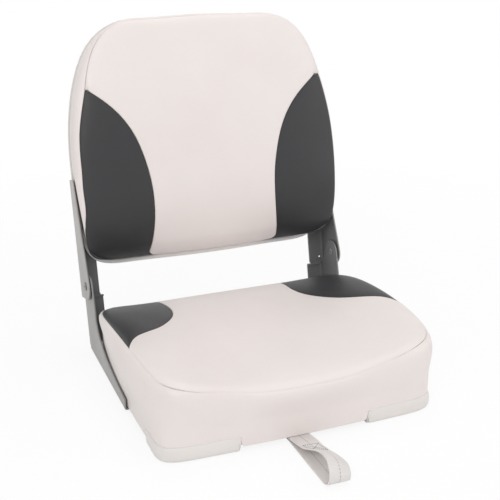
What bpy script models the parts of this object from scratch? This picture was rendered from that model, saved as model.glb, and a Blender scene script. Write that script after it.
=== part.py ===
"""Folding low-back boat seat.

Two padded cushions in vinyl covers stand on moulded plastic trays. Two pairs of sheet-metal
brackets join the trays at the sides, and the back folds forward over the seat about the two
rivets. The seat faces -Y. The origin is the middle of the mounting pad on the underside, and
the feet stand on Z = 0. All sizes are in metres.
"""

import math

import bmesh
import bpy
from mathutils import Matrix, Vector

# Fits shared by every piece
FIT = 0.0003
SEWN_GAP = 0.0004
OVERRUN = 0.03
MERGE = 0.00001

# Vinyl covers
VINYL = 0.0012

# Seat cushion: plan of the hem, of the widest line and of the sewn edge, then the heights
SEAT_WIDTH = 0.413
HEM_TUCK = 0.0125
SEAT_SEAM_TUCK = 0.0015
PAN_FRONT = 0.1735
PAN_REAR = 0.1735
SEAT_FRONT = 0.184
SEAT_REAR = 0.175
SEAT_SEAM_FRONT = 0.191
SEAT_SEAM_REAR = 0.153
SEAT_FRONT_BOW = 0.009
SEAT_FRONT_REACH = 0.004
SEAT_REAR_BOW = 0.0075
SEAT_REAR_CORNER = 0.004
HEM_HEIGHT = 0.006
SEAT_WALL_TOP = 0.042
SEAT_BULGE_HEIGHT = 0.060
SEAT_HEIGHT = 0.112

# Seat pan
PAN_TOP = 0.030
PAN_SHEET = 0.003
PAN_WALL = 0.003
RIB = 0.0025
RIB_DROP = 0.005
PAD_HALF = 0.080
PAD_PLATE = 0.004
FOOT_HEIGHT = 0.020
FOOT_INSIDE = 0.089
FOOT_SIDE = 0.077
FOOT_REAR_INSET = 0.034
FOOT_PROUD = 0.0016
FOOT_DEPTH = 0.014

# Mounting inserts in the pad, on a square
INSERT_PITCH = 0.127
INSERT_RADIUS = 0.005
INSERT_BORE = 0.0032
INSERT_FLANGE_RADIUS = 0.009
INSERT_FLANGE = 0.0015

# Back cushion: heights along the back from the pivot, half plan, then the depths from its rear
RECLINE = math.radians(12.5)
BACK_FOOT = 0.028
BACK_TOP = 0.3835
TRAY_CLEARANCE = 0.0026
BACK_OVERHANG = 0.009
BACK_BULGE_FOOT = 0.025
BACK_BULGE_TOP = 0.382
BACK_BOW = 0.008
BACK_CORNER_REACH = 0.007
BACK_WALL_FRONT = 0.017
BACK_BULGE_DEPTH = 0.050
BACK_DEPTH = 0.076

# Back shell
SHELL_PLATE = 0.003
SHELL_LIP = 0.0022
SHELL_TRAY = 0.007
SHELL_WALL = 0.003
SHELL_RECESS = 0.0012
RECESS_MARGIN = 0.034
RECESS_CORNER = 0.030

# Brackets and pivot
PLATE = 0.0025
BEND = 0.003
PIVOT_BACK = 0.160
PIVOT_HEIGHT = 0.112
PAN_CLEARANCE = 0.002
WASHER = 0.0015
SHELL_BEHIND_PIVOT = 0.039
UPPER_LUG = 0.020
UPPER_TOP = 0.1545
UPPER_TOP_WIDTH = 0.024
STOP_BELOW_PIVOT = 0.0215
FLANGE_WIDTH = 0.0275
FLANGE_ROOT = 0.0065
STOP_LIP = 0.0045
LOWER_LUG = 0.0175
LEG_FRONT = 0.028
LEG_DROP = 0.034
ARM_REACH = 0.185
ARM_DROP = 0.093
ARM_KNEE_FRONT = 0.024
ARM_KNEE_DROP = 0.080
BASE_FLANGE_WIDTH = 0.024
CORNER_NOTCH = 0.007
RELIEF_RADIUS = 0.0016
RELIEF_RISE = 0.006

# Rivets and washers at the pivot
RIVET_RADIUS = 0.0035
RIVET_BORE = 0.0015
RIVET_HEAD_RADIUS = 0.0062
RIVET_HEAD = 0.0017
RIVET_TAIL_RADIUS = 0.0053
RIVET_TAIL = 0.0009
WASHER_RADIUS = 0.0105

# Tapping screws in the trays
SCREW_RADIUS = 0.0021
SCREW_LENGTH = 0.009
SCREW_HEAD_RADIUS = 0.0042
SCREW_HEAD = 0.0022
BOSS_RADIUS = 0.0052
BASE_SCREW_INSET = 0.020
BACK_SCREW_INSET = 0.025
BASE_SCREW_FIRST = 0.012
BASE_SCREW_PITCH = 0.072
BACK_SCREW_FIRST = 0.068
BACK_SCREW_PITCH = 0.037

# Strap under the front edge
STRAP_WIDTH = 0.029
STRAP_THICKNESS = 0.0018
STRAP_ASIDE = 0.010
STRAP_TWIST = math.radians(24)
STRAP_SIDEWAYS = 0.004
STRAP_ANCHOR = 0.105
STRAP_TAIL = 0.013
STRAP_CREST = 0.0255
STRAP_NOSE = 0.2865
ANCHOR_BOSS_HEIGHT = 0.0125
ANCHOR_BOSS_RADIUS = 0.0075
ANCHOR_WASHER_RADIUS = 0.0085
ANCHOR_WASHER = 0.001

# Where the heads of screws and rivets begin to round off
crown_share = 0.65
rim_share = 0.45

# Counts of faces round the turned pieces
FINE_STEPS = 16
COARSE_STEPS = 10

# Faces that turn less than this from each other count as one
FLAT_ANGLE = math.radians(0.3)

# Cage of the seat cushion, rows from the front edge to the rear edge
seat_row_shares = (0, 0.12, 0.30, 0.50, 0.68, 0.85, 1)
hem_width_shares = (0.995, 0.985, 0.99, 1, 1, 1, 0.95)
seat_bulge_shares = (0.86, 0.975, 1, 0.985, 0.955, 0.92, 0.89)
seat_seam_shares = (0.88, 0.985, 1.02, 1.04, 1.05, 1.045, 0.91)
seat_side_shares = (1.03, 1.08, 1.14, 1.11, 1.04, 0.92, 0.77)
seat_bolster_shares = (0.865, 0.89, 0.92, 0.915, 0.875, 0.805, 0.715)
bolster_place_share = 0.6667
seat_centre_shares = (0.74, 0.80, 0.83, 0.835, 0.82, 0.78, 0.705)
seat_edge_shares = (0.755, 0.73, 0.93, 0.95)

# Cage of the back cushion, rows from the bottom edge to the top edge
back_row_shares = (0, 0.155, 0.35, 0.535, 0.715, 0.91, 1)
tray_width_shares = (0.925, 0.97, 1, 0.995, 0.945, 0.815, 0.565)
back_bulge_shares = (0.86, 0.94, 1, 1, 0.95, 0.825, 0.56)
back_seam_shares = (1.02, 1.02, 1.01, 0.985, 0.905, 0.825, 0.61)
back_side_shares = (0.44, 0.90, 0.91, 0.91, 0.905, 0.90, 0.90)
back_centre_shares = (0.53, 0.93, 0.96, 0.97, 0.97, 0.96, 0.86)
back_seam_height_shares = (0, 0.02, 0.045, 0.075, 0.12, 0.20, 1)
back_seam_depth_shares = (-0.2, 0.15, 0.42, 0.62, 0.74, 0.785, 0.785)

# Inner edge of each accent panel, as shares of half the width and of the length of its tray
seat_accent_width_shares = (0.54, 0.51, 0.50, 0.55, 0.68, 0.82, 0.95, 1.06)
seat_accent_row_shares = (1.10, 0.86, 0.74, 0.64, 0.54, 0.47, 0.40, 0.29)
back_accent_width_shares = (0.53, 0.49, 0.49, 0.52, 0.59, 0.70, 0.86, 1.04)
back_accent_row_shares = (-0.10, 0.12, 0.28, 0.41, 0.527, 0.62, 0.70, 0.765)

# Sections of the strap: how far forward of the pad, as shares of the nose, and how high, as
# shares of the crest, out over the crest and back along the floor
strap_out_shares = (0.47, 0.56, 0.598, 0.63, 0.68, 0.74, 0.80, 0.86, 0.915, 0.955, 0.985, 1)
strap_rise_shares = (0.31, 0.18, 0.175, 0.22, 0.34, 0.43, 0.64, 0.87, 0.99, 0.98, 0.80, 0.50)
strap_turn_shares = (0, 0, 0, 0, 0.05, 0.25, 0.65, 0.95, 1, 0.8, 0.45, 0.15)
strap_back_shares = (0.992, 0.965, 0.92, 0.80, 0.68, 0.598, 0.545, 0.47)
strap_floor_shares = (0.22, 0.075, 0.047, 0.047, 0.047, 0.047, 0.07, 0.20)

# Sizes that follow from the ones above
cover_clearance = VINYL + FIT
pan_width = SEAT_WIDTH - 2 * HEM_TUCK
seat_seam_width = SEAT_WIDTH - 2 * SEAT_SEAM_TUCK
lower_plate_inside = pan_width / 2 + PAN_CLEARANCE
lower_plate_outside = lower_plate_inside + PLATE
upper_plate_inside = lower_plate_outside + WASHER + 2 * FIT
upper_plate_outside = upper_plate_inside + PLATE
back_tray_width = 2 * (upper_plate_inside - TRAY_CLEARANCE)
back_width = back_tray_width + 2 * BACK_OVERHANG
flange_front = SHELL_BEHIND_PIVOT + FIT
flange_rear = flange_front + PLATE
base_flange_top = HEM_HEIGHT - FIT
base_flange_foot = base_flange_top - PLATE
boss_foot = base_flange_top + FIT
pan_depth = PAN_FRONT + PAN_REAR
back_length = BACK_TOP - BACK_FOOT


def new_collection(name):
    made = bpy.data.collections.new(name)
    bpy.context.scene.collection.children.link(made)
    return made


def clear_scene():
    for obj in list(bpy.data.objects):
        bpy.data.objects.remove(obj, do_unlink=True)


def finish(name, colour, roughness, metallic=0.0):
    material = bpy.data.materials.new(name)
    material.use_nodes = True
    shader = material.node_tree.nodes["Principled BSDF"]
    shader.inputs["Base Color"].default_value = (*colour, 1.0)
    shader.inputs["Roughness"].default_value = roughness
    shader.inputs["Metallic"].default_value = metallic
    material.diffuse_color = (*colour, 1.0)
    return material


def add_mesh(name, bm, material=None, parent=None):
    """A new object for a piece, or for a cutter where no material is given."""
    mesh = bpy.data.meshes.new(name)
    bm.to_mesh(mesh)
    bm.free()
    obj = bpy.data.objects.new(name, mesh)
    obj.parent = parent
    if material is None:
        cutters.objects.link(obj)
        obj.hide_render = True
        obj.display_type = "WIRE"
    else:
        seat_parts.objects.link(obj)
        mesh.materials.append(material)
        mesh.shade_smooth()
        mesh.set_sharp_from_angle(angle=math.radians(32))
    return obj


def boolean(obj, other, operation):
    modifier = obj.modifiers.new(operation.lower() + "_" + other.name, "BOOLEAN")
    modifier.operation = operation
    modifier.object = other
    modifier.solver = "EXACT"
    return obj


def add_box(bm, low, high):
    made = bmesh.ops.create_cube(bm, size=1)["verts"]
    centre = (Vector(low) + Vector(high)) / 2
    size = Vector(high) - Vector(low)
    bmesh.ops.transform(bm, matrix=Matrix.LocRotScale(centre, None, size), verts=made)


def add_cylinder(bm, centre, radius, depth, axis, steps=COARSE_STEPS):
    turn = Vector((0, 0, 1)).rotation_difference(Vector(axis)).to_matrix().to_4x4()
    bmesh.ops.create_cone(
        bm,
        cap_ends=True,
        segments=steps,
        radius1=radius,
        radius2=radius,
        depth=depth,
        matrix=Matrix.Translation(centre) @ turn,
    )


def box_cutter(name, boxes, parent=None):
    bm = bmesh.new()
    for low, high in boxes:
        add_box(bm, low, high)
    return add_mesh(name, bm, parent=parent)


def bore_cutter(name, centres, radius, depth, axis, parent=None, steps=COARSE_STEPS):
    bm = bmesh.new()
    for centre in centres:
        add_cylinder(bm, centre, radius, depth, axis, steps)
    return add_mesh(name, bm, parent=parent)


def turned(name, profile, material, steps, closed=False):
    """A profile of (radius, height) points, from the top down its outer side, turned round Z."""
    bm = bmesh.new()
    verts = [bm.verts.new((radius, 0, height)) for radius, height in profile]
    for first, second in zip(verts, verts[1:]):
        bm.edges.new((first, second))
    if closed:
        bm.edges.new((verts[-1], verts[0]))
    obj = add_mesh(name, bm, material)
    screw = obj.modifiers.new("turn", "SCREW")
    screw.steps = steps
    screw.render_steps = steps
    screw.use_merge_vertices = True
    screw.merge_threshold = MERGE
    screw.use_smooth_shade = True
    return obj


def along(shares, share):
    """The value at this share of the way through a table, straight between its entries."""
    place = min(max(share, 0), 1) * (len(shares) - 1)
    index = min(int(place), len(shares) - 2)
    return shares[index] + (shares[index + 1] - shares[index]) * (place - index)


def looked_up(value, keys, shares):
    """The share that goes with a value in a table of rising keys, straight between its entries."""
    for index in range(len(keys) - 1):
        if value <= keys[index + 1] or index == len(keys) - 2:
            step = (value - keys[index]) / (keys[index + 1] - keys[index])
            return shares[index] + (shares[index + 1] - shares[index]) * min(max(step, 0), 1)


def smooth_through(points, steps):
    """A smooth curve through the points, with this many steps between each two."""
    ends = [2 * points[0] - points[1], *points, 2 * points[-1] - points[-2]]
    curve = []
    for index in range(1, len(ends) - 2):
        a, b, c, d = ends[index - 1 : index + 3]
        for step in range(steps):
            t = step / steps
            curve.append(
                (2 * b + (c - a) * t + (2 * a - 5 * b + 4 * c - d) * t**2
                 + (3 * b - a - 3 * c + d) * t**3) / 2
            )
    curve.append(points[-1])
    return curve


# Cushions


def seat_point(p, q, widths, front, rear, height):
    """A point of the seat's cage, where p runs across it and q from front to rear, -1 to 1."""
    row = (q + 1) / 2
    ends = along(seat_row_shares, row)
    out = -front + (front + rear) * ends
    if q == -1:
        out += SEAT_FRONT_BOW * p**2 - SEAT_FRONT_REACH * p**6
    if q == 1:
        out -= SEAT_REAR_BOW * p**2 + SEAT_REAR_CORNER * p**6
    return Vector((p * along(widths, row), out, height))


def seat_top(p, q):
    row = (q + 1) / 2
    across = abs(p)
    centre = along(seat_centre_shares, row)
    bolster = along(seat_bolster_shares, row)
    height = centre + (bolster - centre) * min(across / bolster_place_share, 1) ** 2
    if across == 1:
        height = along(seat_side_shares, row)
    if q == -1:
        height = along(seat_edge_shares, across)
    half = [share * seat_seam_width / 2 for share in seat_seam_shares]
    return seat_point(p, q, half, SEAT_SEAM_FRONT, SEAT_SEAM_REAR, height * SEAT_HEIGHT)


def seat_bulge(p, q):
    half = [share * SEAT_WIDTH / 2 for share in seat_bulge_shares]
    return seat_point(p, q, half, SEAT_FRONT, SEAT_REAR, SEAT_BULGE_HEIGHT)


def seat_wall(p, q, height):
    half = [share * pan_width / 2 for share in hem_width_shares]
    return seat_point(p, q, half, PAN_FRONT, PAN_REAR, height)


seat_rings = (
    seat_bulge,
    lambda p, q: seat_wall(p, q, SEAT_WALL_TOP),
    lambda p, q: seat_wall(p, q, HEM_HEIGHT - 2 * OVERRUN),
)


def back_point(p, q, widths, foot, top, depth):
    """A point of the back's cage upright about the pivot; depth is measured from its rear."""
    row = (q + 1) / 2
    up = foot + (top - foot) * along(back_row_shares, row)
    if abs(q) == 1:
        up -= math.copysign(BACK_BOW * p**2 - BACK_CORNER_REACH * p**6, q)
    return Vector((p * along(widths, row), SHELL_BEHIND_PIVOT - depth, up))


def back_face(p, q):
    row = (q + 1) / 2
    centre = along(back_centre_shares, row)
    side = along(back_side_shares, row)
    depth = centre + (side - centre) * abs(p) ** 3
    half = [share * back_width / 2 for share in back_seam_shares]
    return back_point(p, q, half, BACK_BULGE_FOOT, BACK_BULGE_TOP, depth * BACK_DEPTH)


def back_bulge(p, q):
    half = [share * back_width / 2 for share in back_bulge_shares]
    depth = BACK_BULGE_DEPTH
    if q == -1:
        depth = (BACK_WALL_FRONT + BACK_BULGE_DEPTH) / 2
    return back_point(p, q, half, BACK_BULGE_FOOT, BACK_BULGE_TOP, depth)


def back_wall(p, q, depth):
    half = [share * back_tray_width / 2 for share in tray_width_shares]
    return back_point(p, q, half, BACK_FOOT, BACK_TOP, depth)


back_rings = (
    back_bulge,
    lambda p, q: back_wall(p, q, BACK_WALL_FRONT),
    lambda p, q: back_wall(p, q, -2 * OVERRUN),
)


def cushion_cage(face, rings, columns, rows, closed):
    """A grid for the face of the cushion, and rings down its sides to below the hem."""
    bm = bmesh.new()
    bmesh.ops.create_grid(bm, x_segments=columns, y_segments=rows, size=1)
    level = {vert: 0 for vert in bm.verts}
    edge = [e for e in bm.edges if e.is_boundary]
    for number in range(1, len(rings) + 1):
        made = bmesh.ops.extrude_edge_only(bm, edges=edge)["geom"]
        added = [item for item in made if isinstance(item, bmesh.types.BMVert)]
        level.update({vert: number for vert in added})
        edge = [item for item in made if isinstance(item, bmesh.types.BMEdge)]
        edge = [e for e in edge if e.verts[0] in added and e.verts[1] in added]
    if closed:
        bmesh.ops.contextual_create(bm, geom=edge)
    for vert, number in level.items():
        p, q = round(vert.co.x, 6), round(vert.co.y, 6)
        vert.co = face(p, q) if number == 0 else rings[number - 1](p, q)
    bmesh.ops.recalc_face_normals(bm, faces=bm.faces)
    outward = face(0, 0) - rings[-1](0, 0)
    middle = min(bm.faces, key=lambda f: (f.calc_center_median() - face(0, 0)).length)
    if middle.normal.dot(outward) < 0:
        bmesh.ops.reverse_faces(bm, faces=bm.faces)
    return bm


def add_subdivision(obj, levels=1):
    soft = obj.modifiers.new("soft", "SUBSURF")
    soft.levels = levels
    soft.render_levels = levels
    return obj


def merge_flat(obj):
    """Joins the flat triangles that the cuts leave, so that each surface has few faces."""
    flat = obj.modifiers.new("flat", "DECIMATE")
    flat.decimate_type = "DISSOLVE"
    flat.angle_limit = FLAT_ANGLE
    obj.modifiers.new("triangles", "TRIANGULATE")


def cushion_core(name, cage, offset, material=None, parent=None, levels=1):
    """The closed body inside the cover, or with a positive offset the body just outside it."""
    made = add_mesh(name, cushion_cage(*cage, closed=True), material, parent)
    obj = add_subdivision(made, levels)
    push = obj.modifiers.new("offset", "DISPLACE")
    push.mid_level = 0
    push.strength = offset
    obj.modifiers.new("triangles", "TRIANGULATE")
    return obj


def cover_panel(name, cage, material, parent=None):
    """The vinyl, as an open skin that gets its thickness on the inside."""
    obj = add_subdivision(add_mesh(name, cushion_cage(*cage, closed=False), material, parent))
    wall = obj.modifiers.new("vinyl", "SOLIDIFY")
    wall.thickness = VINYL
    wall.offset = -1
    obj.modifiers.new("triangles", "TRIANGULATE")
    return obj


def height_field(name, place, columns, rows, drop, parent=None):
    """A closed cutter whose upper face follows place(p, q), for p and q from -1 to 1."""
    bm = bmesh.new()
    bmesh.ops.create_grid(bm, x_segments=columns, y_segments=rows, size=1)
    upper = list(bm.verts)
    made = bmesh.ops.extrude_face_region(bm, geom=list(bm.faces))["geom"]
    lower = [item for item in made if isinstance(item, bmesh.types.BMVert)]
    for vert in upper:
        vert.co = place(vert.co.x, vert.co.y)
    for vert in lower:
        vert.co = place(vert.co.x, vert.co.y) + drop
    bmesh.ops.recalc_face_normals(bm, faces=bm.faces)
    bmesh.ops.triangulate(bm, faces=bm.faces)
    return add_mesh(name, bm, parent=parent)


def seat_seam_cutter(name, lift, reach):
    """A body over or under the seam of the top panel; within the seam it dips below the panel."""
    bm = bmesh.new()
    bmesh.ops.create_grid(bm, x_segments=8, y_segments=8, size=1)
    near = list(bm.verts)
    made = bmesh.ops.extrude_face_region(bm, geom=list(bm.faces))["geom"]
    far = [item for item in made if isinstance(item, bmesh.types.BMVert)]
    for verts, height in ((near, lift), (far, lift + reach)):
        for vert in verts:
            place = Vector([round(vert.co[axis] * 4 / 3, 6) for axis in (0, 1)])
            p, q = [min(max(value, -1), 1) for value in place]
            point = seat_top(p, q)
            if max(abs(place.x), abs(place.y)) < 1:
                point.z = SEAT_BULGE_HEIGHT
            away = Vector([math.copysign(abs(place[axis]) > 1, place[axis]) for axis in (0, 1)])
            vert.co = point + (2 * OVERRUN * away).to_3d() + Vector((0, 0, height))
    bmesh.ops.recalc_face_normals(bm, faces=bm.faces)
    obj = add_subdivision(add_mesh(name, bm))
    obj.modifiers.new("triangles", "TRIANGULATE")
    return obj


def back_sewn_edge(p, q, lift):
    """The surface that parts the front panel of the back from its side panel."""
    row = (q + 1) / 2
    up = BACK_FOOT - OVERRUN + (back_length + 2 * OVERRUN) * row
    share = (up - BACK_FOOT) / back_length
    depth = looked_up(share, back_seam_height_shares, back_seam_depth_shares) * BACK_DEPTH
    return Vector((p * (back_width / 2 + OVERRUN), SHELL_BEHIND_PIVOT - depth - lift, up))


def accent_edge(width_shares, row_shares, half, foot, length, grow):
    """Inner edge of an accent panel in plan, moved towards the middle by grow."""
    points = [Vector((w * half, foot + r * length)) for w, r in zip(width_shares, row_shares)]
    curve = smooth_through(points, 2)
    edge = []
    for index, point in enumerate(curve):
        before = curve[max(index - 1, 0)]
        after = curve[min(index + 1, len(curve) - 1)]
        run = (after - before).normalized()
        edge.append(point + grow * Vector((run.y, -run.x)))
    return edge


def accent_cutter(name, edge, outside, depth_of, side, toward_end, parent=None):
    """A prism between the edge and the outside of the cushion, along its thickness."""
    bm = bmesh.new()
    outline = [Vector((side * point.x, point.y)) for point in edge]
    outline.append(Vector((side * outside, edge[-1].y)))
    outline.append(Vector((side * outside, edge[0].y)))
    verts = [bm.verts.new(depth_of(point, 0)) for point in outline]
    face = bm.faces.new(verts)
    made = bmesh.ops.extrude_face_region(bm, geom=[face])["geom"]
    moved = [item for item in made if isinstance(item, bmesh.types.BMVert)]
    bmesh.ops.translate(bm, verts=moved, vec=toward_end)
    bmesh.ops.recalc_face_normals(bm, faces=bm.faces)
    return add_mesh(name, bm, parent=parent)


# Brackets


def upright(y, z):
    """A point of the upright back's side view, leaned to where it stands beside the seat."""
    lean_y = y * math.cos(RECLINE) + z * math.sin(RECLINE)
    lean_z = z * math.cos(RECLINE) - y * math.sin(RECLINE)
    return Vector((lean_y, lean_z))


def tangent_angle(point, radius, turn):
    """Angle on a circle about the pivot where the line from the point touches it."""
    reach = math.acos(radius / point.length)
    return math.atan2(point.y, point.x) + turn * reach


def arc(radius, start, stop, steps):
    turns = [start + (stop - start) * step / steps for step in range(steps + 1)]
    return [Vector((radius * math.cos(turn), radius * math.sin(turn))) for turn in turns]


def bent_plate(name, outline, outside, side, rear_edge, base_edge, lip_first, lip_move, parent):
    """Sheet metal: a side plate, a flange along its rear edge and one along its base edge.

    rear_edge and base_edge give the numbers of their first points in the outline. The stop
    lip is turned up from the end of the rear flange at its first point or at its second.
    """
    bm = bmesh.new()
    verts = [bm.verts.new((side * outside, point.x, point.y)) for point in outline]
    bm.faces.new(verts)
    bends = []

    def fold(edge, move):
        made = bmesh.ops.extrude_edge_only(bm, edges=[edge])["geom"]
        added = [item for item in made if isinstance(item, bmesh.types.BMVert)]
        bmesh.ops.translate(bm, verts=added, vec=move)
        return [item for item in made if isinstance(item, bmesh.types.BMEdge)], added

    def edge_between(first, second):
        return next(e for e in first.link_edges if e.other_vert(first) is second)

    rear = edge_between(verts[rear_edge], verts[rear_edge + 1])
    bends.append(rear)
    _, root = fold(rear, Vector((-side * FLANGE_ROOT, 0, 0)))
    _, tip = fold(edge_between(*root), Vector((-side * (FLANGE_WIDTH - FLANGE_ROOT), 0, 0)))
    lip_root = min(root, key=lambda v: lip_first * v.co.z)
    lip_tip = min(tip, key=lambda v: lip_first * v.co.z)
    lip = edge_between(lip_root, lip_tip)
    fold(lip, lip_move)
    bends.append(lip)
    if base_edge is not None:
        base = edge_between(verts[base_edge], verts[base_edge + 1])
        bends.append(base)
        fold(base, Vector((-side * BASE_FLANGE_WIDTH, 0, 0)))
    bmesh.ops.recalc_face_normals(bm, faces=bm.faces)
    plate = max(bm.faces, key=lambda f: f.calc_area())
    if plate.normal.x * side < 0:
        bmesh.ops.reverse_faces(bm, faces=bm.faces)
    bmesh.ops.bevel(bm, geom=bends, offset=BEND, segments=3, profile=0.5, affect="EDGES",
                    material=-1)
    obj = add_mesh(name, bm, painted_sheet, parent)
    wall = obj.modifiers.new("sheet", "SOLIDIFY")
    wall.thickness = PLATE
    wall.offset = -1
    wall.use_even_offset = True
    return obj


def upper_bracket(side, name):
    """Back bracket, outside the seat bracket, upright about the pivot."""
    top_front = Vector((flange_rear - UPPER_TOP_WIDTH, UPPER_TOP))
    start = tangent_angle(top_front, UPPER_LUG, 1)
    outline = [
        Vector((flange_rear, -STOP_BELOW_PIVOT)),
        Vector((flange_rear, UPPER_TOP)),
        top_front,
        *arc(UPPER_LUG, start, 1.5 * math.pi, 9),
    ]
    lip = Vector((0, -STOP_LIP - PLATE, 0))
    obj = bent_plate(name, outline, upper_plate_outside, side, 0, None, 1, lip, back_fold)
    pivot = bore_cutter(name + "_pivot", [Vector((side * upper_plate_outside, 0, 0))],
                        RIVET_RADIUS + FIT, OVERRUN, (1, 0, 0), back_fold, FINE_STEPS)
    boolean(obj, pivot, "DIFFERENCE")
    holes = bore_cutter(name + "_holes", [Vector((x, flange_rear, z)) for x, z in back_screws(side)],
                        SCREW_RADIUS + FIT, OVERRUN, (0, 1, 0), back_fold)
    boolean(obj, holes, "DIFFERENCE")
    relief_x = side * (upper_plate_outside - FLANGE_ROOT - BEND)
    relief_z = RELIEF_RISE + BEND - STOP_BELOW_PIVOT
    relief = bore_cutter(name + "_relief", [Vector((relief_x, flange_rear, relief_z))],
                         RELIEF_RADIUS, OVERRUN, (0, 1, 0), back_fold)
    boolean(obj, relief, "DIFFERENCE")
    return obj


def lower_bracket(side, name):
    """Seat bracket, with its leg beside the cushion and an arm along the pan."""
    foot = base_flange_foot - PIVOT_HEIGHT
    stop = upright(flange_rear, -STOP_BELOW_PIVOT - FIT)
    lean_foot = upright(flange_rear, (foot + flange_rear * math.sin(RECLINE)) / math.cos(RECLINE))
    notch_up = (lean_foot - stop).normalized() * CORNER_NOTCH
    notch_top = lean_foot - notch_up
    knee = [Vector((-LEG_FRONT, -LEG_DROP)), Vector((-ARM_KNEE_FRONT, -ARM_KNEE_DROP)),
            Vector((-ARM_REACH, -ARM_DROP))]
    front = []
    for step in range(1, 9):
        t = step / 8
        front.append(knee[0] * (1 - t) ** 2 + knee[1] * 2 * t * (1 - t) + knee[2] * t**2)
    step = upright(flange_front - STOP_LIP - FIT, -STOP_BELOW_PIVOT - FIT)
    outline = [
        stop,
        notch_top,
        notch_top - Vector((CORNER_NOTCH, 0)),
        Vector((notch_top.x - CORNER_NOTCH, foot)),
        Vector((-ARM_REACH, foot)),
        *reversed(front),
        knee[0],
        *reversed(arc(LOWER_LUG, tangent_angle(step, LOWER_LUG, 1),
                      tangent_angle(knee[0], LOWER_LUG, -1) + 2 * math.pi, 11)),
        step,
    ]
    reach = upright(-STOP_LIP - PLATE, 0)
    lip = Vector((0, reach.x, reach.y))
    obj = bent_plate(name, outline, lower_plate_outside, side, 0, 3, -1, lip, seat_pivot)
    pivot = bore_cutter(name + "_pivot", [Vector((side * lower_plate_outside, 0, 0))],
                        RIVET_RADIUS + FIT, OVERRUN, (1, 0, 0), seat_pivot, FINE_STEPS)
    boolean(obj, pivot, "DIFFERENCE")
    holes = bore_cutter(name + "_holes", [Vector((x, y, 0)) for x, y in base_screws(side)],
                        SCREW_RADIUS + FIT, 2 * HEM_HEIGHT + OVERRUN, (0, 0, 1))
    boolean(obj, holes, "DIFFERENCE")
    return obj


# Fasteners and the places that they share with the holes and bosses


def base_screws(side):
    """Plan places of the screws through a seat bracket's base flange."""
    across = side * (lower_plate_outside - BASE_SCREW_INSET)
    first = PIVOT_BACK - ARM_REACH + BASE_SCREW_FIRST
    return [(across, first + number * BASE_SCREW_PITCH) for number in range(3)]


def back_screws(side):
    """Places of the screws through a back bracket's flange, upright about the pivot."""
    across = side * (upper_plate_outside - BACK_SCREW_INSET)
    return [(across, BACK_SCREW_FIRST + number * BACK_SCREW_PITCH) for number in range(3)]


def insert_places():
    half = INSERT_PITCH / 2
    return [(x * half, y * half) for x in (-1, 1) for y in (-1, 1)]


def tapping_screw(name, location, rotation, parent=None):
    """Pan-head screw; its head bears at the object's origin and its shank runs down -Z."""
    profile = [
        (0, SCREW_HEAD),
        (SCREW_HEAD_RADIUS * crown_share, SCREW_HEAD),
        (SCREW_HEAD_RADIUS, SCREW_HEAD * rim_share),
        (SCREW_HEAD_RADIUS, 0),
        (SCREW_RADIUS, 0),
        (SCREW_RADIUS, -SCREW_LENGTH + SCREW_RADIUS),
        (0, -SCREW_LENGTH),
    ]
    screw = turned(name, profile, zinc, COARSE_STEPS)
    screw.parent = parent
    screw.location = location
    screw.rotation_euler = rotation
    return screw


def flat_washer(name, inner, outer, thickness, material, location, rotation):
    profile = [(inner, thickness), (outer, thickness), (outer, 0), (inner, 0)]
    washer = turned(name, profile, material, FINE_STEPS, closed=True)
    washer.location = location
    washer.rotation_euler = rotation
    return washer


def pivot_rivet(name, side):
    """Tubular rivet through both plates and the washer, headed on the outside."""
    grip = upper_plate_outside - lower_plate_inside + 2 * FIT
    profile = [
        (RIVET_BORE, RIVET_HEAD),
        (RIVET_HEAD_RADIUS * crown_share, RIVET_HEAD),
        (RIVET_HEAD_RADIUS, RIVET_HEAD * rim_share),
        (RIVET_HEAD_RADIUS, 0),
        (RIVET_RADIUS, 0),
        (RIVET_RADIUS, -grip),
        (RIVET_TAIL_RADIUS, -grip),
        (RIVET_TAIL_RADIUS, -grip - RIVET_TAIL * rim_share),
        (RIVET_RADIUS, -grip - RIVET_TAIL),
        (RIVET_BORE, -grip - RIVET_TAIL),
    ]
    rivet = turned(name, profile, zinc, FINE_STEPS, closed=True)
    rivet.location = (side * (upper_plate_outside + FIT), PIVOT_BACK, PIVOT_HEIGHT)
    rivet.rotation_euler = (0, side * math.pi / 2, 0)
    return rivet


def mount_insert(name, place):
    """Threaded insert dropped into the pad from above, with its flange inside the pan."""
    foot = -PAD_PLATE
    profile = [
        (INSERT_BORE, INSERT_FLANGE),
        (INSERT_FLANGE_RADIUS, INSERT_FLANGE),
        (INSERT_FLANGE_RADIUS, 0),
        (INSERT_RADIUS, 0),
        (INSERT_RADIUS, foot),
        (INSERT_BORE, foot),
    ]
    insert = turned(name, profile, brass, COARSE_STEPS, closed=True)
    insert.location = (*place, PAD_PLATE + FIT)
    return insert


# Seat pieces


def cells(xs, ys, low, high, rib):
    """Boxes between neighbouring lines of a rib grid, less half a rib on each side."""
    boxes = []
    for x0, x1 in zip(xs, xs[1:]):
        for y0, y1 in zip(ys, ys[1:]):
            boxes.append(((x0 + rib / 2, y0 + rib / 2, low), (x1 - rib / 2, y1 - rib / 2, high)))
    return boxes


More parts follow.
